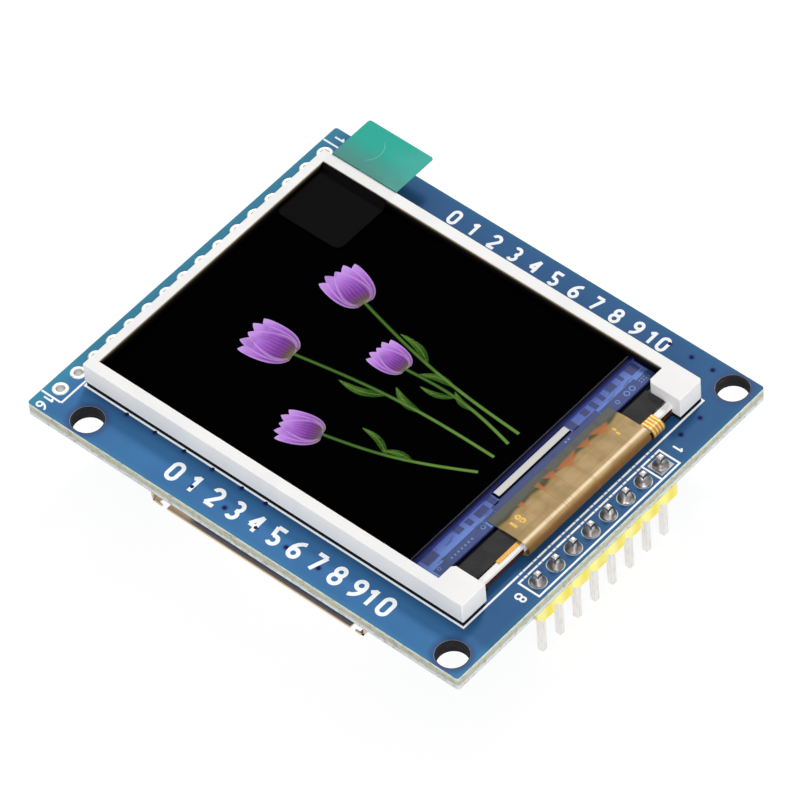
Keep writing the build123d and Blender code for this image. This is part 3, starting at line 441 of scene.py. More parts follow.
def flexFinish():
    f = Finish("amberFlex", 0.16, {"IOR": 1.5})
    fold, start = flexCopper["fold"], flexCopper["start"]
    cloud, fine, lobes = f.grain(0.5, 2.0), f.grain(7.0, 2.0), f.grain(0.55, 0.0, (0, 1, 0))
    rolled = f.grain(1.3, 3.0, (3.2, 0.12, 3.2))        # long streaks that run with the fold
    upper = f.fade(f.z, 2.7, 2.9)
    amber = f.mixed(paint(184, 155, 106), paint(160, 134, 84), f.fade(cloud, 0.3, 0.7))
    toFold = f.fade(f.x, start + 1.6, fold)
    # painted shade along the flex's own creases: darker streaks towards the fold
    amber = f.mixed(amber, paint(148, 118, 72), f.fade(rolled, 0.5, 0.7) * toFold * 0.5)
    # painted highlight: a pale band along the start of the fold
    amber = f.mixed(amber, paint(252, 228, 188), f.near(f.x, fold + 0.14, 0.18, 0.16) * upper * 0.92)
    # painted highlight: pale streaks on the crown of the fold
    crownHighlight = f.near(f.x, fold + 0.1, 0.5, 0.3)
    amber = f.mixed(amber, paint(214, 182, 132), f.fade(rolled, 0.52, 0.62) * crownHighlight * 0.6)
    # painted shade: darker brown on the fold's outer, downward-facing side
    amber = f.mixed(amber, paint(124, 88, 46), f.fade(f.x, fold + 0.42, fold + 0.82))
    edge = f.x - (lobes - 0.5) * 0.9
    bonded = f.fade(f.x + (cloud - 0.5) * 0.8, start - 0.5, start + 0.3)
    olive = f.mixed(paint(86, 88, 82), paint(84, 78, 48), bonded)
    olive = f.mixed(olive, paint(62, 68, 66), f.fade(f.grain(0.8, 3.0, (0.5, 2, 1)), 0.5, 0.75) * 0.5)
    glassy = (1 - f.fade(edge, start + 0.15, start + 0.62)) * upper
    colour = f.mixed(amber, olive, glassy)
    copper, bundle = 0.0, 0.0
    for fanY, fanHalf, fanLength in flexCopper["fans"]:
        aside = abs(f.y - fanY)
        cone = aside / fanHalf + (f.x - start) / fanLength
        copper = (1 - f.fade(cone, 0.75, 1.15)) | copper
        bundle = f.near(aside, 0.14, 0.035) | bundle
    copper = copper * f.fade(f.x + (cloud - 0.5) * 0.9, start - 0.25, start + 0.15) * upper
    colour = f.mixed(colour, f.mixed(paint(206, 124, 70), paint(172, 104, 60), cloud), copper * 0.85)
    bundle = bundle * f.fade(f.x, start + 0.3, start + 0.8)
    colour = f.mixed(colour, paint(178, 104, 70), bundle * 0.4)
    crossed = f.stripes(f.y, flexCopper["pitch"], 0.04) * f.fade(f.grain(0.9, 1.0, (0.3, 1, 1)), 0.45, 0.6)
    crossed = crossed * f.fade(f.x, start + 0.6, start + 1.4)
    colour = f.mixed(colour, paint(170, 104, 66), crossed * 0.4)
    wound = f.stripes(f.y, flexCopper["pitch"] / 3, 0.05) * f.fade(f.x, fold + 0.1, fold + 0.5)
    wound = wound * f.fade(f.grain(0.6, 1.0, (0.2, 1, 0.2)), 0.5, 0.62)
    colour = f.mixed(colour, paint(104, 60, 36), wound * 0.15)
    roughness = 0.26 + fine * 0.1 + rolled * 0.08
    return f.use(colour, roughness, (crossed + copper + rolled) * 0.5, 0.012, 0.6)


def goldFlexFinish():
    f = Finish("goldFlex", 0.12, {"Metallic": 0.35})
    low, high = nodeBox("led_flex")
    cloud = f.grain(1.5, 2.0)
    tail = f.fade(f.y, high.y - 1.7, high.y - 1.6) * f.fade(f.x, high.x - 1.7, high.x - 1.6)
    pale = f.stripes(f.y - high.y, 0.4, 0.07, 0.05) * tail
    dark = f.stripes(f.y - high.y + 0.2, 0.4, 0.04, 0.04) * tail
    colour = f.mixed(paint(206, 158, 86), paint(186, 134, 62), cloud)
    colour = f.mixed(colour, paint(244, 212, 136), pale * 0.8)
    colour = f.mixed(colour, paint(160, 106, 40), dark * 0.6)
    # painted shade: darker brown towards the bottom of the tail
    colour = f.mixed(colour, paint(112, 66, 20), 1 - f.fade(f.z, low.z + 0.2, low.z + 0.9))
    return f.use(colour, 0.3 + cloud * 0.12, pale, 0.02, 0.5)


tabLook = {
    "greenStart": nodeBox("backlight_frame")[1].y, "wall": nodeBox("tft_glass")[1].y + 0.1,
    "creaseMiddle": (-22.74, 20.09), "creaseRadius": 1.85,
}


def tabFinish():                        # clear where it is stuck down, dyed where it is held
    f = Finish("greenTab", 0.044)
    edge, wall = tabLook["greenStart"], tabLook["wall"]
    cloud, fine = f.grain(0.35, 2.0), f.grain(8.0, 2.0)
    free = f.fade(f.y, edge - 0.14, edge + 0.02)
    stuck = 1 - f.fade(f.y, wall - 0.3, wall - 0.15)
    # the crease, in the bump, with a painted highlight along it
    creaseAndGlint = f.near(f.reach(*tabLook["creaseMiddle"]), tabLook["creaseRadius"], 0.05, 0.07)
    creaseAndGlint = creaseAndGlint * f.fade(f.x, tabLook["creaseMiddle"][0] + 0.9, tabLook["creaseMiddle"][0] + 1.5)
    # painted shade: greyer and darker near the frame, where the shadowed board shows through
    outwards = f.fade(f.y + (cloud - 0.5) * 2, edge, edge + 3.6)
    dyed = f.mixed(paint(90, 152, 144), paint(56, 180, 162), outwards)
    dyed = f.mixed(dyed, paint(92, 186, 174), f.fade(f.x + (cloud - 0.5) * 6, -20.0, -16.5) * 0.6)
    dyed = f.mixed(dyed, paint(146, 212, 200), creaseAndGlint * 0.5)
    colour = f.mixed(paint(2, 2, 2), dyed, free)
    f.use(colour, 0.14 + free * 0.26 + fine * 0.1, cloud + creaseAndGlint * 0.6, 0.05, 0.5)
    plain = f.node("BsdfTransparent", {}, {"Color": (1, 1, 1, 1)})
    green = f.node("BsdfTransparent", {}, {"Color": paint(150, 236, 216)})
    clear = f.node("MixShader", {}, {0: free, 1: plain, 2: green})
    share = 0.012 + free * 0.9 + stuck * 0.95
    both = f.node("MixShader", {}, {0: share, 1: clear, 2: Value(f, f.shader.outputs[0])})
    f.tree.links.new(both.socket, f.tree.nodes["Material Output"].inputs["Surface"])
    return f


def steelFinish():
    f = Finish("socketSteel", constants={"Metallic": 1.0, "Emission Strength": 0.8})
    low = nodeBox("card_shell")[0]
    rolled, cloud = f.grain(2.0, 3.0, (0.3, 6, 6)), f.grain(0.3, 2.0)
    colour = f.mixed(paint(204, 202, 198), paint(196, 194, 190), f.fade(cloud, 0.35, 0.7))
    colour = f.mixed(colour, paint(160, 156, 150), f.fade(rolled, 0.6, 0.85) * 0.4)
    cut = 1 - f.fade(f.y, low.y + 0.01, low.y + 0.04)                       # the sheared front edge
    colour = f.mixed(colour, paint(214, 184, 132), cut)
    # painted light and shade in the slot's mouth: its up-facing floor glows, dark, with a tan left end and
    # darker brown near the lip
    facing = f.node("SeparateXYZ", {}, {0: f.node("NewGeometry", {}, {}, "Normal")}, 2)
    slotMouthGlow = (1 - f.fade(f.y, low.y + 1.4, low.y + 2.0)) * f.fade(facing, 0.4, 0.7)
    slotLight = 1 - f.fade(f.x, low.x + 4.0, low.x + 5.4)        # painted light: a tan glow on the left of the slot's floor, for daylight that falls into the card slot
    inside = f.mixed(paint(52, 44, 44), paint(176, 148, 108), slotLight)
    inside = f.mixed(inside, paint(120, 96, 70), (1 - f.fade(f.y, low.y + 0.1, low.y + 0.5)) * 0.6)
    glow = f.mixed(paint(0, 0, 0), inside, slotMouthGlow * (1 - cut))
    return f.use(colour, 0.28 + rolled * 0.18, rolled, 0.01, 0.5, {"Emission Color": glow})


def goldFinish():
    f = Finish("contactGold", constants={"Metallic": 1.0})
    cloud, fine = f.grain(1.2, 2.0), f.grain(8.0, 2.0)
    colour = f.mixed(paint(232, 192, 96), paint(206, 160, 70), cloud)
    return f.use(colour, 0.26 + fine * 0.16, fine, 0.006, 0.4)


def ledgeFinish(name, near, far):       # thin metal layers on the glass ledge, from the screen side outwards
    f = Finish(name, 0.14)
    high = nodeBox("tft_glass")[1]
    start = nodeBox("filter_glass")[1].x
    cloud, patch = f.grain(0.5, 2.0, (1, 0.5, 1)), f.grain(1.4, 2.0, (2, 0.4, 1))
    lines = f.stripes(f.y, 0.24, 0.03, 0.04)
    colour = f.mixed(near, far, f.fade(f.x + (cloud - 0.5) * 1.6, start + 0.3, high.x - 0.9))
    colour = f.mixed(colour, paint(54, 60, 96), f.fade(patch, 0.58, 0.66) * 0.5)
    colour = f.mixed(colour, paint(70, 86, 160), lines * 0.25)
    return f.use(colour, 0.25 + cloud * 0.15, lines, 0.003, 0.3)


mask, laminate, ink, tin = maskFinish(), laminateFinish(), inkFinish(), tinFinish()
pinMetal, solder, housingYellow, foam = pinFinish(), solderFinish(), housingFinish(), foamFinish()
frameWhite, polariser, clearFilm, glass = frameFinish(), polariserFinish(), surfaceFilmFinish(), glassFinish()
litPetals, litLeaves, chipDie = litFinish(), leafFinish(), chipFinish()
amberFlex, goldFlex, greenTab = flexFinish(), goldFlexFinish(), tabFinish()
steel, gold = steelFinish(), goldFinish()
viaBlue = plasticFinish("viaBlue", paint(26, 32, 84), paint(20, 24, 66), 0.5, 3.0, 0.04)
baseBlack = plasticFinish("baseBlack", paint(34, 34, 37), paint(26, 26, 29), 0.5, 1.0)
shadeGrey = plasticFinish("shadeFilm", paint(61, 60, 60), paint(53, 52, 53), 0.6, 0.6, 0.04)
tapeBlack = plasticFinish("rimTape", paint(14, 14, 26), paint(9, 9, 18), 0.5, 1.0, 0.03)
padAmber = plasticFinish("padAmber", paint(250, 204, 100), paint(226, 176, 80), 0.3, 3.0, 0.2)
# painted shade: the lip film's amber darkened to brown, as it looks under the fold
shadedLipBrown = plasticFinish("shadedBrownFilm", paint(74, 38, 20), paint(44, 20, 14), 0.3, 1.4, 0.1)
resistorBlack = plasticFinish("resistorBody", paint(30, 31, 36), paint(20, 21, 25), 0.35, 2.0)
capacitorTan = plasticFinish("capacitorBody", paint(168, 136, 100), paint(150, 118, 84), 0.45, 2.0)
packageBlack = plasticFinish("packageBody", paint(42, 42, 45), paint(33, 33, 36), 0.55, 2.5)
lampWhite = plasticFinish("lampBody", paint(248, 246, 232), paint(240, 236, 212), 0.35, 2.0)
silverFilm = filmFinish("silverFilm", paint(226, 228, 230), paint(206, 208, 212), 0.9, 0.2)
clearAcrylic = filmFinish("clearAcrylic", paint(226, 232, 240), paint(206, 216, 232), 0.0, 0.12)
milkyFilm = filmFinish("milkyFilm", paint(236, 236, 240), paint(220, 222, 228), 0.0, 0.35)
ledgeLight = ledgeFinish("ledgeLight", paint(84, 104, 178), paint(106, 140, 212))
ledgeDark = ledgeFinish("ledgeDark", paint(56, 64, 112), paint(66, 80, 128))
ledgePale = ledgeFinish("ledgePale", paint(124, 158, 220), paint(112, 146, 212))

finishOfSlot = {
    "laminate": laminate, "mask": mask, "ink": ink, "tin": tin, "pin_metal": pinMetal,
    "header_yellow": housingYellow, "foam": foam, "frame_white": frameWhite, "silver_film": silverFilm,
    "clear_acrylic": clearAcrylic, "milky_film": milkyFilm, "black_tape": tapeBlack, "polariser": polariser,
    "display_glass": glass, "clear_film": clearFilm, "lit_violet": litPetals, "lit_green": litLeaves,
    "chip": chipDie, "flex": amberFlex, "gold_flex": goldFlex, "lamp": lampWhite, "shade": shadeGrey,
    "tab_green": greenTab, "shell_steel": steel, "base_black": baseBlack, "contact_gold": gold,
    "resistor_black": resistorBlack, "capacitor_tan": capacitorTan, "package_black": packageBlack,
}
finishOfNode = {"header_eyelets": solder}               # lands that the joints' solder has run over
print("materials made:", len(bpy.data.materials))


# Shapes: built in millimetres, then placed, smoothed up to an angle and set on the module
def addPiece(name, shape, finish, replaced=(), smoothAngle=32, flatFaces=False):
    bmesh.ops.recalc_face_normals(shape, faces=shape.faces)
    bmesh.ops.scale(shape, vec=(mm, mm, mm), verts=shape.verts)
    mesh = bpy.data.meshes.new(name)
    shape.to_mesh(mesh)
    shape.free()
    mesh.materials.append(finish.material)
    mesh.shade_smooth()
    mesh.set_sharp_from_angle(angle=math.radians(smoothAngle))
    piece = bpy.data.objects.new(name, mesh)
    scene.collection.objects.link(piece)
    if flatFaces:                       # large faces stay flat beside their rounded edges
        piece.modifiers.new("flatFaces", "WEIGHTED_NORMAL").keep_sharp = True
    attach(piece, "root")
    if replaced:
        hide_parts(*replaced)


merging = {"same": 0.001, "flat": 0.5}  # millimetres between equal corners, degrees across a flat face


def nodeShape(name):                    # a CAD node's mesh, merged, with its flat faces joined
    shape = bmesh.new()
    shape.from_mesh(nodes[name].data)
    bmesh.ops.scale(shape, vec=(1 / mm, 1 / mm, 1 / mm), verts=shape.verts)
    bmesh.ops.remove_doubles(shape, verts=shape.verts, dist=merging["same"])
    bmesh.ops.dissolve_limit(
        shape, angle_limit=math.radians(merging["flat"]), verts=shape.verts, edges=shape.edges
    )
    return shape


def soften(shape, width, sharper=40, segments=2):       # rounds the edges that turn more than an angle
    least = math.radians(sharper)
    sharp = [edge for edge in shape.edges if edge.is_manifold and edge.calc_face_angle() > least]
    bmesh.ops.bevel(
        shape, geom=sharp, offset=width, offset_type="OFFSET", affect="EDGES", segments=segments,
        profile=0.5, material=-1, clamp_overlap=True,
    )
    return shape


def addRounded(name, part, width, finish, sharper=30):    # a CAD node with its edges rounded
    shape = soften(nodeShape(part), width, sharper)
    addPiece(name, shape, finish, [part], flatFaces=True)


def onlyOf(items, kind):
    return [item for item in items if isinstance(item, kind)]


def addBlock(shape, low, high):
    low, high = Vector(low), Vector(high)
    place = Matrix.LocRotScale((low + high) / 2, None, high - low)
    return bmesh.ops.create_cube(shape, size=1, matrix=place)["verts"]


def addDisc(shape, x, y, low, high, radius, segments):
    bmesh.ops.create_cone(
        shape, cap_ends=True, segments=segments, radius1=radius, radius2=radius, depth=high - low,
        matrix=Matrix.Translation((x, y, (low + high) / 2)),
    )


def addRing(shape, x, y, level, height, radius, hole, segments=28):
    place = Matrix.Translation((x, y, level))
    rim = bmesh.ops.create_circle(
        shape, cap_ends=False, segments=segments, radius=radius, matrix=place
    )["verts"]
    outline = list({edge for vertex in rim for edge in vertex.link_edges})
    made = bmesh.ops.extrude_edge_only(shape, edges=outline)["geom"]
    inner = onlyOf(made, bmesh.types.BMVert)
    share = hole / radius
    bmesh.ops.scale(shape, vec=(share, share, 1), space=Matrix.Translation((-x, -y, 0)), verts=inner)
    flat = onlyOf(made, bmesh.types.BMFace)
    raised = bmesh.ops.extrude_face_region(shape, geom=flat, use_keep_orig=True)["geom"]
    bmesh.ops.translate(shape, vec=(0, 0, height), verts=onlyOf(raised, bmesh.types.BMVert))


for part in frame["record"]["subparts"]:                # every CAD node gets its own or its slot's finish
    slots = nodes[part["node"]].data.materials
    slots.clear()
    finish = finishOfNode.get(part["node"], finishOfSlot[part["material_slot"]])
    slots.append(finish.material)


# Display frame: the moulded tray, its own rounding kept, every other edge broken, one ear's corner cut round
frameBody = {
    "edge": 0.05, "earCorner": 0.45, "cornerStep": 15, "lipWall": 0.3, "lipThickness": 0.07,
    "lipHeight": 0.6, "lipGap": 0.08, "earGap": 0.1,
}
trayShape = soften(nodeShape("backlight_frame"), frameBody["edge"], 50)
trayLow, trayHigh = nodeBox("backlight_frame")
cornerMiddle = Vector((trayHigh.x - frameBody["earCorner"], trayHigh.y - frameBody["earCorner"], 0))
for turn in range(frameBody["cornerStep"], 90, frameBody["cornerStep"]):
    outward = Vector((math.cos(math.radians(turn)), math.sin(math.radians(turn)), 0))
    cut = bmesh.ops.bisect_plane(
        trayShape, geom=trayShape.verts[:] + trayShape.edges[:] + trayShape.faces[:], clear_outer=True,
        plane_co=cornerMiddle + outward * frameBody["earCorner"], plane_no=outward,
    )["geom_cut"]
    bmesh.ops.holes_fill(trayShape, edges=onlyOf(cut, bmesh.types.BMEdge), sides=0)
addPiece("moulded_frame", trayShape, frameWhite, ["backlight_frame"], flatFaces=True)

# A film folded up against the foot of the end wall, on both sides of the flexes; its dark brown is painted
# shade
wallOuter = nodeBox("reflector_film")[1].x + frameBody["lipWall"]
shadeLow, shadeHigh = nodeBox("shade_film")
earFaces = [shadeLow.y - frameBody["earGap"], shadeHigh.y + frameBody["earGap"]]
lipShape = bmesh.new()
for lipLow, lipHigh in ((earFaces[0], nodeBox("main_flex")[0].y), (nodeBox("led_flex")[1].y, earFaces[1])):
    addBlock(lipShape, (wallOuter, lipLow + frameBody["lipGap"], trayLow.z),
             (wallOuter + frameBody["lipThickness"], lipHigh - frameBody["lipGap"],
              trayLow.z + frameBody["lipHeight"]))
addPiece("film_lip", soften(lipShape, 0.02, 40), shadedLipBrown)

# Header: bevelled housing and pins, and one uneven joint of solder round each pin
addRounded("header_strip", "header_housing", headerLook["housingEdge"], housingYellow)
addRounded("square_pins", "header_pins", headerLook["pinEdge"], pinMetal)

solderJoint = {
    "profile": [
        (0.82, 0.0), (0.82, 0.04), (0.77, 0.11), (0.66, 0.21),
        (0.56, 0.34), (0.48, 0.5), (0.42, 0.68), (0.36, 0.92),
    ],
    "steps": 32, "uneven": 0.2, "lumpScale": 1.7, "lumpShift": 3.1, "lumpReach": 1.3, "lumpFrom": 0.08,
    "lumpTo": 0.9,
}


def addJoint(shape, x, y, low, number):
    rim = [shape.verts.new((x + reach, y, low + height)) for reach, height in solderJoint["profile"]]
    lines = [shape.edges.new(pair) for pair in zip(rim, rim[1:])]
    bmesh.ops.spin(
        shape, geom=rim + lines, cent=(x, y, low), axis=(0, 0, 1), angle=2 * math.pi,
        steps=solderJoint["steps"], use_merge=True,
    )
    middle = Vector((x, y, low))
    for vertex in shape.verts:
        away = vertex.co - middle
        nearby = away.length < solderJoint["lumpReach"]
        if nearby and solderJoint["lumpFrom"] < away.z < solderJoint["lumpTo"]:
            shift = Vector((0, 0, solderJoint["lumpShift"] * number))
            lump = noise.noise(vertex.co * solderJoint["lumpScale"] + shift)
            away.z = 0
            vertex.co += away.normalized() * lump * solderJoint["uneven"]


jointShape = bmesh.new()
solderLow, solderHigh = nodeBox("header_solder")
landTop = nodeBox("header_eyelets")[1].z
pinX = (solderLow.x + solderHigh.x) / 2
for number in range(headerLook["count"]):
    pinY = (number - (headerLook["count"] - 1) / 2) * headerLook["pitch"]
    addJoint(jointShape, pinX, pinY, landTop, number)
bmesh.ops.remove_doubles(jointShape, verts=jointShape.verts, dist=merging["same"])
bmesh.ops.holes_fill(jointShape, edges=jointShape.edges, sides=0)
addPiece("solder_joints", jointShape, solder, ["header_solder"], 60)
print("frame and header made")

# Driver chip, with its dark underfill round the foot
chipLook = {"edge": 0.03, "underfill": 0.12, "underfillHeight": 0.05, "underfillEdge": 0.02}
chipLow, chipHigh = nodeBox("driver_chip")
addRounded("driver_die", "driver_chip", chipLook["edge"], chipDie)
underfill = bmesh.new()
addBlock(underfill, chipLow - Vector((chipLook["underfill"], chipLook["underfill"], 0)),
         (chipHigh.x + chipLook["underfill"], chipHigh.y + chipLook["underfill"],
          chipLow.z + chipLook["underfillHeight"]))
addPiece("die_underfill", soften(underfill, chipLook["underfillEdge"], 30), tapeBlack)

# Glass ledge: a pale metal field with darker blocks, and plain squares and rings on the outer strip
ledge = {
    "field": 0.004, "block": 0.004, "mark": 0.003, "fieldEnd": 16.04, "side": 15.95, "startGap": 0.02,
    "sideGap": 0.1, "flexGap": 0.05, "endGap": 0.04, "ringHole": 0.62,
    "blocks": [
        (14.25, 15.35, 14.45, 15.75), (14.3, 15.05, 13.35, 13.75), (14.3, 15.05, 11.55, 12.65),
        (14.3, 15.2, 10.35, 10.9), (14.35, 15.35, 9.15, 9.75), (14.35, 15.15, 7.9, 8.65),
        (14.3, 15.4, 5.9, 6.7), (14.25, 15.45, -5.6, -4.9), (14.5, 15.35, -7.6, -6.1),
        (14.45, 15.25, -8.85, -8.2), (14.25, 15.05, -10.3, -9.4), (14.25, 15.3, -14.9, -13.2),
    ],
    "strips": [
        (15.7, 16.95, 9.15, 14.25), (16.0, 16.95, 14.25, 15.95), (15.7, 16.95, -13.5, -7.75),
        (16.0, 16.95, -15.05, -13.5), (15.7, 16.05, -7.7, -6.1), (15.3, 16.05, -6.05, 9.1),
    ],
    "squares": [(16.25 + 0.3 * (step % 2), 14.45 + 0.34 * (step // 2), 0.16) for step in range(8)]
    + [(16.35, -9.9 - 0.48 * step, 0.2) for step in range(7)] + [(15.65, 4.4, 0.22), (15.65, 4.85, 0.22)],
    "rings": [
        (16.35, 13.3, 0.33), (16.35, 12.5, 0.33), (16.35, 11.15, 0.24), (16.25, -8.2, 0.27),
        (16.3, -14.5, 0.2),
    ],
}
glassLow, glassHigh = nodeBox("tft_glass")
flexLow, flexHigh = nodeBox("main_flex")
filterLow, filterHigh = nodeBox("filter_glass")
level = glassHigh.z
blockLevel = level + ledge["field"]
field = bmesh.new()
addBlock(field, (filterHigh.x + ledge["startGap"], glassLow.y + ledge["sideGap"], level),
         (ledge["fieldEnd"], glassHigh.y - ledge["sideGap"], blockLevel))
for side, flexEdge in ((1, flexHigh.y), (-1, flexLow.y)):
    besideFlex, outside = flexEdge + side * ledge["flexGap"], side * ledge["side"]
    addBlock(field, (ledge["fieldEnd"], min(outside, besideFlex), level),
             (glassHigh.x - ledge["endGap"], max(outside, besideFlex), blockLevel))
addPiece("ledge_field", field, ledgeLight)
blocks = bmesh.new()
for lowX, highX, lowY, highY in ledge["blocks"] + ledge["strips"]:
    addBlock(blocks, (lowX, lowY, blockLevel), (highX, highY, blockLevel + ledge["block"]))
addPiece("ledge_blocks", blocks, ledgeDark)
marks = bmesh.new()
markLevel = blockLevel + ledge["block"]
for markX, markY, size in ledge["squares"]:
    addBlock(marks, (markX - size / 2, markY - size / 2, markLevel),
             (markX + size / 2, markY + size / 2, markLevel + ledge["mark"]))
for ringX, ringY, radius in ledge["rings"]:
    addRing(marks, ringX, ringY, markLevel, ledge["mark"], radius, radius * ledge["ringHole"])
addPiece("ledge_marks", marks, ledgePale)
print("chip and glass ledge made")

# Picture on the screen: cup-shaped blossoms of overlapping petals, with stems and leaves, all plain shapes
picture = {
    "blossoms": [
        (-0.31, 0.34, 0.33, 166), (-0.38, -0.22, 0.35, 187),
        (0.16, -0.58, 0.29, 200), (0.22, 0.10, 0.26, 176),
    ],
    "petals": [(-1, 0.96, 1), (1, 0.97, 1), (-0.5, 1.0, 1), (0.5, 0.99, 1), (0, 0.94, 1.08)],
    "leaves": [(0.45, 16, 0.9), (0.62, -14, 0.7)],
    "spread": 24, "slimness": 0.48, "petalBelly": 0.62, "leafSlimness": 0.16, "leafBelly": 0.8,
    "leafCurl": 0.1, "fullness": 0.75, "tip": 0.04, "layer": 0.003, "stemWidth": 0.36, "steps": 18,
    "rows": 6, "footInset": 2.4, "gather": 0.6, "bow": 0.7,
}
picLow = nodeBox("picture_blossoms")[0]
pictureMiddle = (filterLow + filterHigh) / 2
halfPicture = (filterHigh.y - filterLow.y) / 2


def addStrip(shape, rows):              # a flat strip in the XY plane, its own map along and across it
    made = bmesh.ops.create_grid(shape, x_segments=picture["steps"], y_segments=rows, size=0.5)["verts"]
    layer = shape.loops.layers.uv.verify()
    for face in {face for vertex in made for face in vertex.link_faces}:
        for loop in face.loops:
            loop[layer].uv = (loop.vert.co.x + 0.5, loop.vert.co.y + 0.5)
    return made


def addBlade(shape, foot, length, width, turn, level, belly, curl=0.0):       # one petal or leaf
    made = addStrip(shape, picture["rows"])
    for vertex in made:
        share = vertex.co.x + 0.5
        swell = math.sin(math.pi * min(1, max(0, share)) ** belly) ** picture["fullness"] + picture["tip"]
        sway = curl * math.sin(math.pi * share) * length
        vertex.co = Vector((share * length, vertex.co.y * width * swell + sway, 0))
    place = Matrix.Translation((foot[0], foot[1], level)) @ Matrix.Rotation(math.radians(turn), 4, "Z")
    bmesh.ops.transform(shape, matrix=place, verts=made)


def addStem(shape, path, width, level):                 # the strip is laid along a path
    for vertex in addStrip(shape, 1):
        number = round((vertex.co.x + 0.5) * (len(path) - 1))
        ahead = (path[min(number + 1, len(path) - 1)] - path[max(number - 1, 0)]).normalized()
        beside = Vector((-ahead.y, ahead.x)) * width * vertex.co.y
        vertex.co = (*(path[number] + beside), level)


petals = bmesh.new()
leaves = bmesh.new()
stemFootX = filterHigh.x - picture["footInset"]
for number, (shareX, shareY, shareLength, turn) in enumerate(picture["blossoms"]):
    foot = Vector((pictureMiddle.x + shareX * halfPicture, pictureMiddle.y + shareY * halfPicture))
    length = shareLength * halfPicture
    width = length * picture["slimness"]
    bend = 1 if number % 2 else -1
    for order, (lean, size, broad) in enumerate(picture["petals"]):
        addBlade(petals, foot, length * size, width * broad, turn + lean * picture["spread"],
                 picLow.z + picture["layer"] * (order + 1), picture["petalBelly"])
    path = []
    for step in range(picture["steps"] + 1):
        share = step / picture["steps"]
        sway = bend * picture["bow"] * math.sin(share * math.pi)
        gathered = foot.y * (1 - share * picture["gather"])
        path.append(Vector((foot.x + share * (stemFootX - foot.x), gathered + sway)))
    addStem(leaves, path, picture["stemWidth"], picLow.z + picture["layer"] * 0.5)
    for share, lean, size in picture["leaves"]:
        point = path[round(share * picture["steps"])]
        addBlade(leaves, point, length * size, length * picture["leafSlimness"], 180 + bend * lean,
                 picLow.z, picture["leafBelly"], picture["leafCurl"] * bend)
for shape in (petals, leaves):
    bmesh.ops.solidify(shape, geom=shape.faces[:], thickness=picture["layer"] / 2)
addPiece("picture_petals", petals, litPetals, ["picture_blossoms"])
addPiece("picture_leaves", leaves, litLeaves, ["picture_stems"])
print("picture made")

# Covered vias on the board's upper side
maskTop = nodeBox("mask_top")[1].z
viaTop = nodeBox("legend_top")[1].z + vias["height"]
viaShape = bmesh.new()
for viaX, viaY in vias["upper"]:
    addDisc(viaShape, viaX, viaY, maskTop, viaTop, vias["radius"], vias["segments"])
addPiece("covered_vias", soften(viaShape, vias["edge"], 40), viaBlue)

# Both flexes and the tab, smooth round their folds, and bare gold pads on the main flex
for name, part, finish, slot in (
    ("folded_flex", "main_flex", amberFlex, "flex"),
    ("lamp_flex", "led_flex", goldFlex, "gold_flex"),
    ("tab_film", "pull_tab", greenTab, "tab_green"),
):
    addPiece(name, nodeShape(part), finish, [part], 40, True)
flexPads = {
    "height": 0.012, "rings": [(18.15, -5.45, 0.33), (18.75, -5.45, 0.33)], "hole": 0.1,
    "bars": [(18.0, 18.9, -6.55, -6.25), (18.15, 18.6, 8.1, 8.35), (18.75, 19.2, 8.0, 8.25)],
}
padShape = bmesh.new()
for padX, padY, radius in flexPads["rings"]:
    addRing(padShape, padX, padY, flexHigh.z, flexPads["height"], radius, flexPads["hole"])
for lowX, highX, lowY, highY in flexPads["bars"]:
    addBlock(padShape, (lowX, lowY, flexHigh.z), (highX, highY, flexHigh.z + flexPads["height"]))
addPiece("flex_pads", padShape, padAmber)

# Underside: rounded socket shell and base, rounded small parts, and a wedge of solder at each cap
underside = {
    "shellEdge": 0.06, "baseEdge": 0.08, "bodyEdge": 0.05, "capEdge": 0.07, "caseEdge": 0.06,
    "partPitch": 2.6, "wedgeReach": 0.35, "wedgeHeight": 0.34, "wedgeSide": 0.08, "wedgeToe": 0.03,
    "wedgeEdge": 0.03,
}
for name, part, edge, finish, slot in (
    ("socket_shell", "card_shell", "shellEdge", steel, "shell_steel"),
    ("socket_base", "card_base", "baseEdge", baseBlack, "base_black"),
    ("resistor_blocks", "resistor_bodies", "bodyEdge", resistorBlack, "resistor_black"),
    ("resistor_caps", "resistor_ends", "capEdge", tin, "tin"),
    ("capacitor_blocks", "capacitor_bodies", "bodyEdge", capacitorTan, "capacitor_tan"),
    ("capacitor_caps", "capacitor_ends", "capEdge", tin, "tin"),
    ("regulator_block", "regulator_case", "caseEdge", packageBlack, "package_black"),
    ("transistor_block", "transistor_case", "caseEdge", packageBlack, "package_black"),
):
    addRounded(name, part, underside[edge], finish, 40)
wedges = bmesh.new()
for part in ("resistor_ends", "capacitor_ends"):
    capLow, capHigh = nodeBox(part)
    count = round((capHigh.x - capLow.x) / underside["partPitch"]) + 1
    width = capHigh.x - capLow.x - (count - 1) * underside["partPitch"]
    for step in range(count):
        lowX = capLow.x + step * underside["partPitch"]
        for side, face in ((-1, capLow.y), (1, capHigh.y)):
            outer = face + side * underside["wedgeReach"]
            corners = addBlock(
                wedges, (lowX - underside["wedgeSide"], min(face, outer), -underside["wedgeHeight"]),
                (lowX + width + underside["wedgeSide"], max(face, outer), 0),
            )
            for corner in corners:      # the outer lower edge is drawn in, which leaves a slope
                if abs(corner.co.y - outer) < merging["same"]:
                    corner.co.z = max(corner.co.z, -underside["wedgeToe"])
addPiece("part_solder", soften(wedges, underside["wedgeEdge"], 30), solder)
print("vias, flexes and underside made")


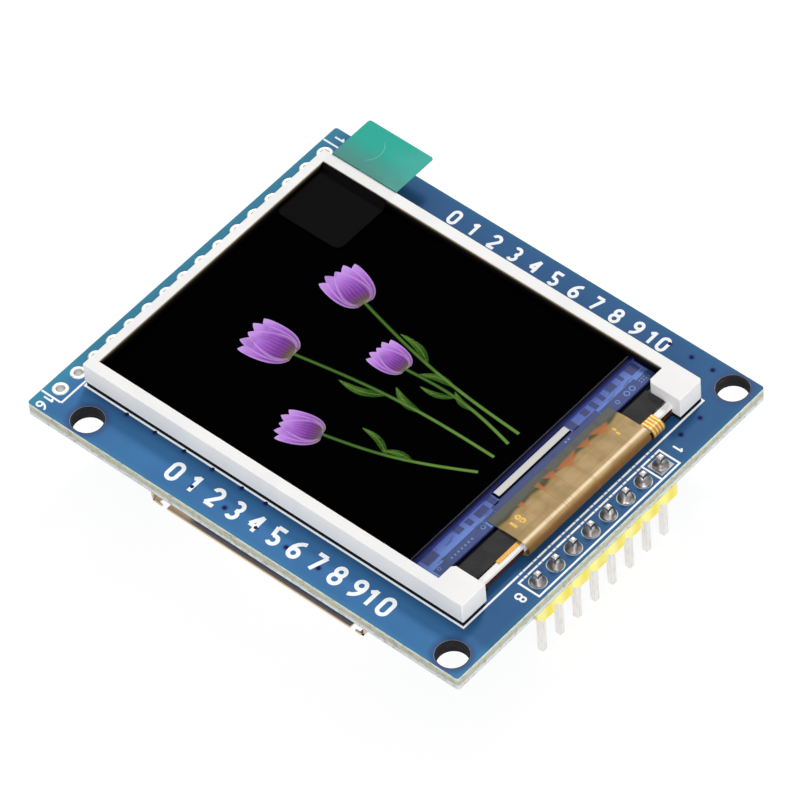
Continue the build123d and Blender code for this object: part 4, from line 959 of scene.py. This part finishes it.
# Stage, light and camera
floorHalf = 4                           # metres
floorPlace = Matrix.Translation((0, 0, cadBox[0].z))
floorMesh = bpy.data.meshes.new("floor")
floorShape = bmesh.new()
bmesh.ops.create_grid(floorShape, x_segments=1, y_segments=1, size=floorHalf, matrix=floorPlace)
floorShape.to_mesh(floorMesh)
floorShape.free()
floor = bpy.data.objects.new("floor", floorMesh)
scene.collection.objects.link(floor)


def seenRays(tree):                     # 1 for camera, glossy and transmission rays, which get plain white
    path = tree.nodes.new("ShaderNodeLightPath")
    total = None
    for ray in ("Is Camera Ray", "Is Glossy Ray", "Is Transmission Ray"):
        if total is None:
            total = path.outputs[ray]
            continue
        both = tree.nodes.new("ShaderNodeMath")
        both.operation = "MAXIMUM"
        tree.links.new(total, both.inputs[0])
        tree.links.new(path.outputs[ray], both.inputs[1])
        total = both.outputs[0]
    return total


light = {
    "world": 0.44, "floorGlow": 0.9, "floorShade": 0.16,
    "suns": [("key", 1.2, (-0.3, 0.7, 0.98), 12), ("fill", 1.55, (0.74, -0.56, 0.42), 40)],
}
floorLook = Finish("whiteFloor")
pale = floorLook.mixed(paint(236, 236, 236), paint(232, 232, 232), floorLook.grain(0.02, 1.0))
bounce = floorLook.node("BsdfDiffuse", {}, {"Color": pale})
shade = floorLook.node("BsdfDiffuse", {}, {"Color": (light["floorShade"],) * 3 + (1,)})
glow = floorLook.node("Emission", {}, {"Color": (1, 1, 1, 1), "Strength": light["floorGlow"]})
bright = floorLook.node("AddShader", {}, {0: shade, 1: glow})
clear = floorLook.node("BsdfTransparent", {}, {})
under = Value(floorLook, floorLook.tree.nodes.new("ShaderNodeNewGeometry").outputs["Backfacing"])
seen = Value(floorLook, seenRays(floorLook.tree))
lit = floorLook.node("MixShader", {}, {0: seen, 1: bounce, 2: bright})
oneSided = floorLook.node("MixShader", {}, {0: under * seen, 1: lit, 2: clear})
floorLook.tree.links.new(oneSided.socket, floorLook.tree.nodes["Material Output"].inputs["Surface"])
floorMesh.materials.append(floorLook.material)

world = bpy.data.worlds.new("studio")
scene.world = world
world.use_nodes = True
sky = world.node_tree.nodes["Background"]
sky.inputs["Color"].default_value = (1, 1, 1, 1)
skyLevel = world.node_tree.nodes.new("ShaderNodeMapRange")
skyLevel.inputs[3].default_value = light["world"]
skyLevel.inputs[4].default_value = 1.0
world.node_tree.links.new(seenRays(world.node_tree), skyLevel.inputs[0])
world.node_tree.links.new(skyLevel.outputs[0], sky.inputs["Strength"])

for name, strength, direction, softness in light["suns"]:
    sun = bpy.data.lights.new(name, "SUN")
    sun.energy = strength
    sun.angle = math.radians(softness)
    sunHolder = bpy.data.objects.new(name, sun)
    sunHolder.rotation_mode = "QUATERNION"
    sunHolder.rotation_quaternion = Vector(direction).to_track_quat("Z", "Y")
    scene.collection.objects.link(sunHolder)

view = {
    "target": (-1.05, -0.186, 1.6), "distance": 721.51, "azimuth": -44.818, "elevation": 49.704,
    "roll": -5.124, "lens": 343.8, "sensor": 36,
}
azimuth, elevation, roll = (math.radians(view[name]) for name in ("azimuth", "elevation", "roll"))
reach = math.cos(elevation)
ahead = Vector((math.sin(azimuth) * reach, math.cos(azimuth) * reach, -math.sin(elevation)))
right = ahead.cross(Vector((0, 0, 1))).normalized()
up = right.cross(ahead)
turnedRight = right * math.cos(roll) + up * math.sin(roll)
turnedUp = up * math.cos(roll) - right * math.sin(roll)
camera = bpy.data.cameras.new("camera")
camera.lens, camera.sensor_width = view["lens"], view["sensor"]
camera.clip_start, camera.clip_end = 0.01, 20
holder = bpy.data.objects.new("camera", camera)
place = Matrix((turnedRight, turnedUp, -ahead)).transposed().to_4x4()
place.translation = (Vector(view["target"]) - ahead * view["distance"]) * mm
holder.matrix_world = place
scene.collection.objects.link(holder)
scene.camera = holder
scene.view_settings.view_transform = "Standard"
print("stage, light and camera set")
